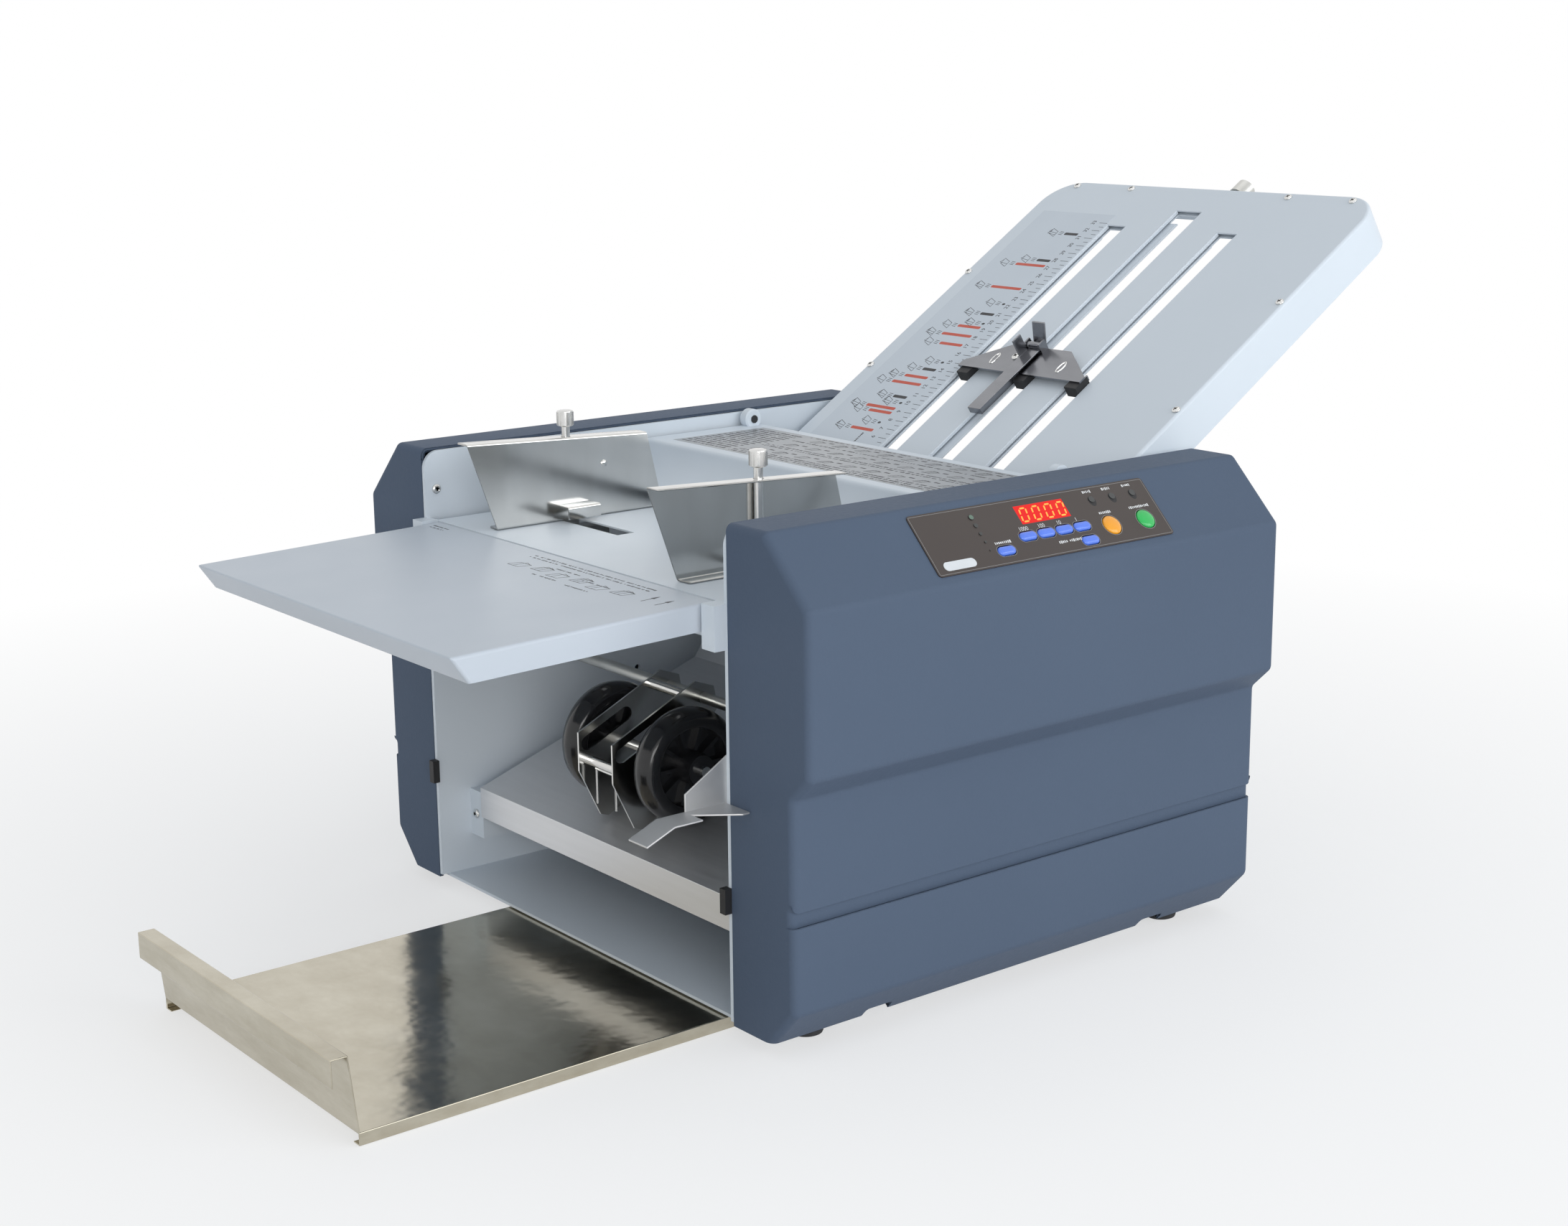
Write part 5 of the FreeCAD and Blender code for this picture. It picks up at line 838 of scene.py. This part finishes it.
belongs(merged("slot_lips", lips), powder_coat, "machine", slot="light_paint")

scale_film = mottled("scale_film", (0.60, 0.655, 0.72), (0.66, 0.715, 0.775), (18,), (0.3, 0.1, 70))
red_ink = mottled("red_ink", (0.56, 0.075, 0.04), (0.64, 0.10, 0.055), (200,), (0.42, 0.1, 90))
belongs(flat_shapes("scale_film", [[(16, 68.2), (341, 68.2), (341, 148), (16, 148)]], on_plate, 0.0, 0.09),
        scale_film, "machine", slot="panel_print")


def tick_tree(name, material):
    """Evenly spaced scale marks: one thin bar repeated along X, every second one long."""
    tree = Tree(name, Count=56, Step=0.005, Long=0.0083, Short=0.0048, Line=0.0004)
    row = tree.row(tree.given["Count"], tree.vector(tree.given["Step"]))
    index = tree.index()
    odd = index.join("MODULO", index, 2.0)
    length = tree.given["Long"] - odd * (tree.given["Long"] - tree.given["Short"])
    bar = tree.moved(tree.block(tree.given["Line"], 1.0, 0.00005), Translation=(0, 0.5, 0))
    return tree.done(tree.repeat(row, bar, Scale=tree.vector(1.0, length, 1.0)), material)


INK_RISE, INK = 0.09, 0.05
ticks = grown("scale_ticks", [(0, 0, 0)], tick_tree("scale_ticks", black_ink),
              lambda u, v, w: on_plate(50 + u, 68.4 + v, INK_RISE + 0.025 + w), Count=57, Step=0.005)


def lettering(name, entries, place, rise, gauge=0.06):
    """Plain numerals: (text, u, v, height) entries set in their own plane."""
    pieces = []
    for text, u, v, height in entries:
        words = bpy.data.curves.new("numeral", "FONT")
        words.body, words.size, words.align_x, words.align_y = text, height * 1.38, "CENTER", "CENTER"
        words.extrude, words.resolution_u = gauge / 2, 3
        holder = linked("numeral", words)
        shape = baked(holder)
        bpy.data.objects.remove(holder)
        for vertex in shape.vertices:
            vertex.co = place(u + vertex.co.x, v + vertex.co.y, rise + gauge / 2 + vertex.co.z)
        pieces.append(linked(f"numeral_{len(pieces)}", shape))
    return merged(name, pieces)


numbers = lettering("scale_numbers", [(str(n), n * 10.0, 82.6, 3.9) for n in range(5, 34)], on_plate,
                    INK_RISE, INK)
RED_BARS = ((66, 89, 114), (86.8, 88.4, 114), (91.8, 89, 121.7), (121.3, 88.3, 120.7), (129.5, 88.4, 114),
            (170.2, 87.6, 112.7), (181.4, 87.6, 120.6), (192.3, 87.6, 112.5), (242, 87, 120.2),
            (271.8, 86.8, 119.2))
BLACK_BARS = ((105.4, 89, 104), (139.2, 88.3, 102.7), (209, 87.5, 102.2), (278.6, 86.9, 101.3),
              (313.5, 86.5, 101))
DOTS = ((75.3, 90.8), (99, 89.5), (148.7, 89.5), (197.5, 88.9), (222.5, 88.7))


def long_mark(s, y0, y1, half=1.5, cut_off=0.7):
    """A printed bar across the plate with clipped corners."""
    return [(s - half, y0 + cut_off), (s - half + cut_off, y0), (s + half - cut_off, y0),
            (s + half, y0 + cut_off), (s + half, y1 - cut_off), (s + half - cut_off, y1),
            (s - half + cut_off, y1), (s - half, y1 - cut_off)]


belongs(flat_shapes("scale_red_bars", [long_mark(*bar) for bar in RED_BARS], on_plate, INK_RISE, INK),
        red_ink, "machine", slot="panel_print")
black_lines = [long_mark(*bar) for bar in BLACK_BARS]
black_lines += [long_mark(s, y - 1.6, y + 1.6, 1.1, 0.8) for s, y in DOTS]
mark_tops = [(s, y1) for s, _, y1 in RED_BARS + BLACK_BARS] + [(s, y + 2) for s, y in DOTS]
for i, (s, top_y) in enumerate(mark_tops):
    for k in range(3):
        foot_s = s - 1.6 + k * 1.7
        black_lines.append(stroke(foot_s, top_y + 2.2, s - 1.2 + k * 1.7, top_y + 6.0, 0.45))
    black_lines += folded_sheet_icon(s - 4.5, top_y + 9, 6.5, 7.5, 2 - i % 2)
scale_print = [ticks, numbers, flat_shapes("scale_lines", black_lines, on_plate, INK_RISE, INK),
               printed("scale_words", [(45, 96)], 12, on_plate, INK_RISE, 2.2, 1.5, 0.1, 61)]
belongs(merged("scale_print", scale_print), black_ink, "machine", slot="panel_print")


# Fold stop: a winged plate of dull stainless with two pressed oval rings, small ears at its tips, two
# pan-head screws and a channel-shaped lever with upright tabs. The lower plate's stop is its like.
stop_steel = mottled("dull_stainless", (0.20, 0.205, 0.22), (0.31, 0.315, 0.335), (70, 4, (1, 0.3, 1)),
                     (0.16, 0.12, 45, 4), ((12, 2), 0.0004, 0.3), Metallic=1.0)
belongs(softened("lower_stop_bar", 0.4, "lower_stop"), stop_steel, "lower_stop", "lower_stop",
        slot="stainless")
WING_TOP = 6.5


def ring_tree(name, material):
    """A pressed ring: a circle of wire pulled long, repeated at every point."""
    tree = Tree(name, Long=0.0058, Wide=0.0022, Wire=0.0006)

    def circle(resolution, radius):
        return tree.add("GeometryNodeCurvePrimitiveCircle", "Curve",
                        {"Resolution": resolution, "Radius": radius}, mode="RADIUS")

    loop = tree.moved(circle(40, 1.0), Scale=tree.vector(tree.given["Long"], tree.given["Wide"], 1.0))
    wire = tree.add("GeometryNodeCurveToMesh", "Mesh",
                    {"Curve": loop, "Profile Curve": circle(8, tree.given["Wire"])})
    return tree.done(tree.repeat(tree.given["Geometry"], wire), material)


stop_pieces = [softened("stop_wings", 0.35, "fold_stop")]
stop_pieces.append(grown("wing_rings", [(0.1545, -0.036, 0), (0.1545, 0.033, 0)],
                         ring_tree("wing_rings", bright_steel), lambda s, y, w: on_plate(s, y, WING_TOP + w)))
for side in (-1, 1):
    tip = -1.5 + side * 63.2
    near, away = sorted((tip, tip - side * 1.2))
    stop_pieces.append(bar_between(f"tip_{side}", (142.6, near, 1.0), (151.4, away, 5.6), 0.3, on_plate))
stop_pieces.append(screws("stop_heads", [on_plate(s, 13.9, WING_TOP) for s in (168.2, 158.7)], along_plate,
                          17, 3.5, 2.1))
for part in stop_pieces:
    if not part.data.materials:
        part.data.materials.append(stop_steel)
stop_plate = merged("fold_stop_plate", stop_pieces)
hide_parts("fold_stop")
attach(stop_plate, "fold_stop")
belongs(softened("stop_clamp_lever", 0.35, "stop_lever"), stop_steel, "stop_lever", "stop_lever",
        slot="stainless")


# Exit tray: a drawer of thin bright stainless under the base, with an upturned, hemmed front.
# Its sheet is a little uneven; its colour is painted in broad dark and pale warm bands, a painted reflection
# of the room.
# The noise blends a dark and a pale warm tone in broad bands: painted reflection on the sheet.
tray_steel_painted_reflection = mottled("bright_stainless_sheet", (0.34, 0.30, 0.215), (0.66, 0.625, 0.53),
                     (34, 5, (0.6, 0.35, 1.6), 0.65), (0.09, 0.13, 50, 4),
                     ((22, 3, (1, 1, 1), 0.6), 0.0011, 0.5), Metallic=1.0)
belongs(softened("exit_tray_sheet", 0.5, "exit_tray"), tray_steel_painted_reflection, "exit_tray", "exit_tray", slot="stainless")


# Covers: slate grey moulded shells with a fine pebbled grain and soft edges. Each side has an upper
# shell and a base shell, which meet at a recessed band and snap to the frames.
moulding = Finish("slate_moulding")
grain = moulding.cells(520) * 0.7 + moulding.noise(1400, 2) * 0.5
slate = moulding.shade(
    Base_Color=moulding.blend(moulding.noise(6, 3), (0.088, 0.117, 0.170), (0.099, 0.131, 0.188)),
    Roughness=0.48 + moulding.noise(300, 2) * 0.12, Normal=moulding.bump(grain, 0.00020, 0.7),
    Specular_IOR_Level=0.09)


def rounded(corners, radii, inset, floor_line=None, steps=6):
    """An open outline moved inwards by an inset, its inner corners rounded."""
    lines = []
    for (y0, z0), (y1, z1) in zip(corners, corners[1:]):
        along = Vector((y1 - y0, z1 - z0)).normalized()
        lines.append((Vector((y0, z0)) + Vector((along.y, -along.x)) * inset, along))
    out = [lines[0][0]]
    for (p, u), (q, v), radius in zip(lines, lines[1:], radii):
        cross = u.x * v.y - u.y * v.x
        gap = q - p
        corner = p + u * ((gap.x * v.y - gap.y * v.x) / cross)
        turn = -1 if cross < 0 else 1
        radius = max(0.4, radius + turn * inset)
        half = math.atan2(abs(cross), u.dot(v)) / 2
        start = corner - u * radius * math.tan(half)
        centre = start - Vector((u.y, -u.x)) * turn * radius
        arm = start - centre
        for k in range(steps + 1):
            angle = turn * 2 * half * k / steps
            out.append(centre + Vector((arm.x * math.cos(angle) - arm.y * math.sin(angle),
                                        arm.x * math.sin(angle) + arm.y * math.cos(angle))))
    p, u = lines[-1]
    if floor_line is None:
        out.append(p + u * (Vector(corners[-1]) - Vector(corners[-2])).length)
    else:
        out.append(p + u * ((floor_line - p.y) / u.y))
    return out


BODY_LONG, END_ROUND, WALL = 397.3, 5.0, 3.0
COVER_IN, SPLIT, COVER_FOOT = 174.8, 87.2, 9


def shell(name, side, corners, radii, closing, floor_line=None):
    """A moulded shell: the outline run along the machine, rounded over at both ends and closed there."""
    stations = [(END_ROUND * (1 - math.cos(a)), END_ROUND * (1 - math.sin(a)))
                for a in (math.radians(i * 90 / 7) for i in range(8))]
    stations += [(BODY_LONG - x, inset) for x, inset in reversed(stations)]
    points, faces = [], []
    for x, inset in stations:
        points += [at(x, side * p.x, p.y) for p in rounded(corners, radii, inset, floor_line)]
    count = len(points) // len(stations)
    for here in range(0, len(points) - count, count):
        there = here + count
        faces += [(here + k, here + k + 1, there + k + 1, there + k) for k in range(count - 1)]
    for start, x in ((0, 0), (len(points) - count, BODY_LONG)):
        extra = len(points)
        points += [at(x, side * y, z) for y, z in closing]
        faces.append(tuple(range(start, start + count)) + tuple(range(extra, extra + len(closing))))
    obj = outwards(piece_of(name, points, faces), at(BODY_LONG / 2, side * 190, 150))
    thickened(obj, WALL)
    return obj


def on_panel(x, drop, lift):
    """A point on the control panel's slope: along the machine, down the slope, and off it."""
    run, rise = 39.8, 40.2
    slope = math.hypot(run, rise)
    return at(x, -209.7 - drop * run / slope - lift * rise / slope,
              319.6 - drop * rise / slope + lift * run / slope)


upper_outline = [(COVER_IN, 319.6), (209.7, 319.6), (249.5, 279.4), (249.5, 180.2), (233.9, 165.1),
                 (233.9, 96.6), (231.7, 96.6), (231.7, SPLIT)]
lower_outline = [(233.9, SPLIT), (233.9, 32.8), (212.2, COVER_FOOT)]
for side, name in ((-1, "operator"), (1, "drive")):
    upper = shell(f"{name}_upper_shell", side, upper_outline, [5, 6, 6, 6, 0.6, 0.5], [(COVER_IN, SPLIT)])
    windows = [bar_between("window", (104.5, 8, -8), (299.2, 48.2, 8), 0, on_panel)] if side < 0 else []
    belongs(pierce(upper, *windows), slate, "machine", f"{name}_cover", slot="cover")
    lower = shell(f"{name}_lower_shell", side, lower_outline, [7],
                  [(COVER_IN, COVER_FOOT), (COVER_IN, SPLIT)], COVER_FOOT)
    notches = [bar_between("notch", (x - 10.5, side * 190, 4), (x + 10.5, side * 260, 15), 2)
               for x in (80, 320)]
    belongs(pierce(lower, *notches), slate, "machine", f"{name}_base_cover", slot="cover")


# Control panel: a dark brown printed film on the chamfer, a red window with a painted glow all over
# and four lit digits, small black lenses, six blue pills, and an orange and a green round key.
coat(mottled("panel_film", (0.046, 0.034, 0.030), (0.056, 0.043, 0.038), (12, 2), (0.34, 0.08, 60),
             ((900,), 0.00003, 0.4)), "control_fascia")
# The window's emission is a painted glow over its whole face, standing in for the light of the lit display.
coat(mottled("red_window", (0.40, 0.006, 0.005), (0.46, 0.009, 0.007), (30,), (0.2, 0),
             Emission_Color=(0.75, 0.008, 0.006), Emission_Strength=0.6, Specular_IOR_Level=0.25),
     "display_window")
coat(mottled("lamp_lens", (0.012, 0.014, 0.014), (0.03, 0.034, 0.034), (400,), (0.1, 0), Coat_Weight=0.6),
     "status_lamps")
lit = Finish("lit_segment")
segment_light = lit.shade(Base_Color=(0.9, 0.12, 0.02), Roughness=0.4, Emission_Strength=1.2,
                          Emission_Color=lit.blend(lit.noise(500), (1.0, 0.30, 0.045), (1.0, 0.38, 0.06)))
panel_ink = mottled("white_ink", (0.62, 0.62, 0.62), (0.78, 0.78, 0.78), (300,), (0.5, 0))
rim_ink = mottled("grey_ink", (0.20, 0.19, 0.185), (0.30, 0.29, 0.28), (300,), (0.5, 0))
PANEL_RISE = 0.8


def panel_plane(u, v, lift):
    """On the panel: u along the machine, v up the slope from the chamfer's top edge, negative down."""
    return on_panel(u, -v, lift)


DIGIT_WIDE, DIGIT_TALL, BAR, DIGIT_V, SLANT = 5.4, 9.6, 1.15, -18.4, 0.2
low_v, high_v = DIGIT_V - DIGIT_TALL / 2, DIGIT_V + DIGIT_TALL / 2
segments = []
for i in range(4):
    left = 191.1 + i * 10.45 - DIGIT_WIDE / 2
    far_u = left + DIGIT_WIDE
    upright = [[(left + 0.6, v), (left + 1.2, v + BAR / 2), (far_u - 1.2, v + BAR / 2), (far_u - 0.6, v),
                (far_u - 1.2, v - BAR / 2), (left + 1.2, v - BAR / 2)] for v in (low_v, high_v)]
    upright += [[(u, v0 + 0.5), (u - BAR / 2, v0 + 1.0), (u - BAR / 2, v1 - 1.0), (u, v1 - 0.5),
                 (u + BAR / 2, v1 - 1.0), (u + BAR / 2, v0 + 1.0)]
                for u in (left, far_u) for v0, v1 in ((low_v, DIGIT_V), (DIGIT_V, high_v))]
    segments += [[(u + (v - DIGIT_V) * SLANT, v) for u, v in shape] for shape in upright]
belongs(flat_shapes("display_digits", segments, panel_plane, 0.78), segment_light, "machine",
        slot="red_glass")


def pill_outline(u, v, straight, radius, steps=14):
    """A closed outline of two half rounds joined by straights."""
    ring = []
    for k in range(2 * steps):
        angle = math.tau * (k + 0.5) / (2 * steps)
        ring.append((u + radius * math.cos(angle) + (straight if math.cos(angle) > 0 else -straight),
                     v + radius * math.sin(angle)))
    return ring


def rim_of(outline, grow):
    """Four-sided strips that follow an outline: a thin printed rim."""
    middle = Vector((sum(p[0] for p in outline), sum(p[1] for p in outline))) / len(outline)
    outer = [tuple(Vector(p) + (Vector(p) - middle).normalized() * grow) for p in outline]
    return [[a, b, d, c] for (a, b), (c, d) in zip(ring_of(outline), ring_of(outer))]


KEY_HALF = 3.5
PILLS = {f"digit_key_{i + 1}": (184.4 + i * 15.35, 33.4) for i in range(4)}
PILLS.update(speed_key=(162.0, 40.6), clear_key=(230.6, 44.0))
ROUNDS = {"test_key": (254.6, 36.3), "start_key": (284.7, 36.3)}
print_lines = []
for u, drop in PILLS.values():
    print_lines += rim_of(pill_outline(u, -drop, KEY_HALF, 3.9), 0.35)
for u, drop in ROUNDS.values():
    print_lines += rim_of(pill_outline(u, -drop, 0, 7.4), 0.35)
for start, end in ring_of([(103.6, -7.2), (300.1, -7.2), (300.1, -49.1), (103.6, -49.1)]):
    print_lines.append(stroke(*start, *end, 0.3))
WORDS = (("a", [(156.5, -34.6)], 9, 0.0, 71), ("b", [(205.6, -41.8)], 15, 0.04, 72),
         ("c", [(250.4, -26.6)], 7, 0.0, 73), ("d", [(276.8, -26.6)], 13, 0.05, 74),
         ("e", [(247, -9.8), (264, -9.8), (282, -9.8)], 5, 0.0, 75))
panel_words = [printed(f"panel_words_{part}", rows, marks, panel_plane, PANEL_RISE, 2.3, 1.5, gaps, seed)
               for part, rows, marks, gaps, seed in WORDS]
numerals = [(word, 184.0 + i * 14.9, -28.0, 2.9) for i, word in enumerate(("1000", "100", "10", "1"))]
panel_words.append(lettering("panel_numerals", numerals, panel_plane, PANEL_RISE))
belongs(merged("panel_print", panel_words), panel_ink, "machine", slot="panel_print")
belongs(flat_shapes("panel_rims", print_lines, panel_plane, PANEL_RISE, 0.04), rim_ink, "machine",
        slot="panel_print")
badge_white = mottled("badge_plate", (0.66, 0.68, 0.70), (0.74, 0.76, 0.78), (90,), (0.3, 0.1, 60))
belongs(flat_shapes("blank_badge", [pill_outline(122, -44.1, 9.6, 3.1)], panel_plane, PANEL_RISE, 0.25),
        badge_white, "machine", slot="light_paint")

# Wells round the lamps: flat dark shapes on the film's print, drawn long down the slope, painted shade
# for funnels sunk round the lamps. A green lens lies on the slope's upper part, left of the window.
WELL_V = -16.4
# Thin matt black shapes: painted shade where the wells sink round the lamps.
painted_well_shade = [[(x, v if v > WELL_V else WELL_V + (v - WELL_V) * 1.5) for x, v in pill_outline(u, WELL_V, 0, 3.0)]
         for u in (250.5, 268.5, 286.5)]
belongs(flat_shapes("lamp_well_painted_shade", painted_well_shade, panel_plane, PANEL_RISE, 0.03), matt_black, "machine",
        slot="black_matte")
lens_green = mottled("green_gauge_lens", (0.10, 0.16, 0.12), (0.16, 0.24, 0.18), (300,), (0.15, 0))
belongs(flat_shapes("gauge_lens", [pill_outline(149.8, -14.0, 0, 1.6)], panel_plane, 1.3, 0.05), lens_green,
        "machine", slot="lamp_lens")


def dome_key(name, place, straight, radius, top, material, slot):
    """A glossy domed key cap: rings of its outline drawn in towards the crown."""
    x, drop = place
    rings = [(0.0, -3.6), (0.0, top * 0.35), (0.10, top * 0.62), (0.25, top * 0.82), (0.45, top * 0.94),
             (0.7, top), (0.96, top)]
    points, faces, steps = [], [], 40
    for inset, height in rings:
        r = radius * (1 - inset)
        for k in range(steps):
            angle = math.tau * k / steps
            shift = straight * (1 if math.cos(angle) >= 0 else -1) * (1 - inset * 0.35)
            points.append(on_panel(x + r * math.cos(angle) + shift, drop - r * math.sin(angle), height))
    last = (len(rings) - 1) * steps
    for start in range(0, last, steps):
        for k in range(steps):
            n = (k + 1) % steps
            faces.append((start + k, start + n, start + steps + n, start + steps + k))
    faces += [tuple(range(steps)), tuple(range(last, last + steps))]
    belongs(settle(piece_of(f"{name}_cap", points, faces), 60), material, name, name, slot=slot)


def gloss(name, dark, pale):
    return mottled(name, dark, pale, (120,), (0.16, 0.08, 90), Coat_Weight=0.4, Coat_Roughness=0.08)


blue = gloss("blue_cap", (0.085, 0.195, 0.78), (0.105, 0.23, 0.88))
orange = gloss("orange_cap", (0.92, 0.34, 0.008), (0.97, 0.41, 0.012))
green = gloss("green_cap", (0.010, 0.44, 0.08), (0.014, 0.52, 0.10))
for name, place in PILLS.items():
    dome_key(name, place, 3.9, 3.1, 2.4, blue, "blue_key")
for (name, place), cap, slot in zip(ROUNDS.items(), (orange, green), ("orange_key", "green_key")):
    dome_key(name, place, 0, 6.9, 2.6, cap, slot)
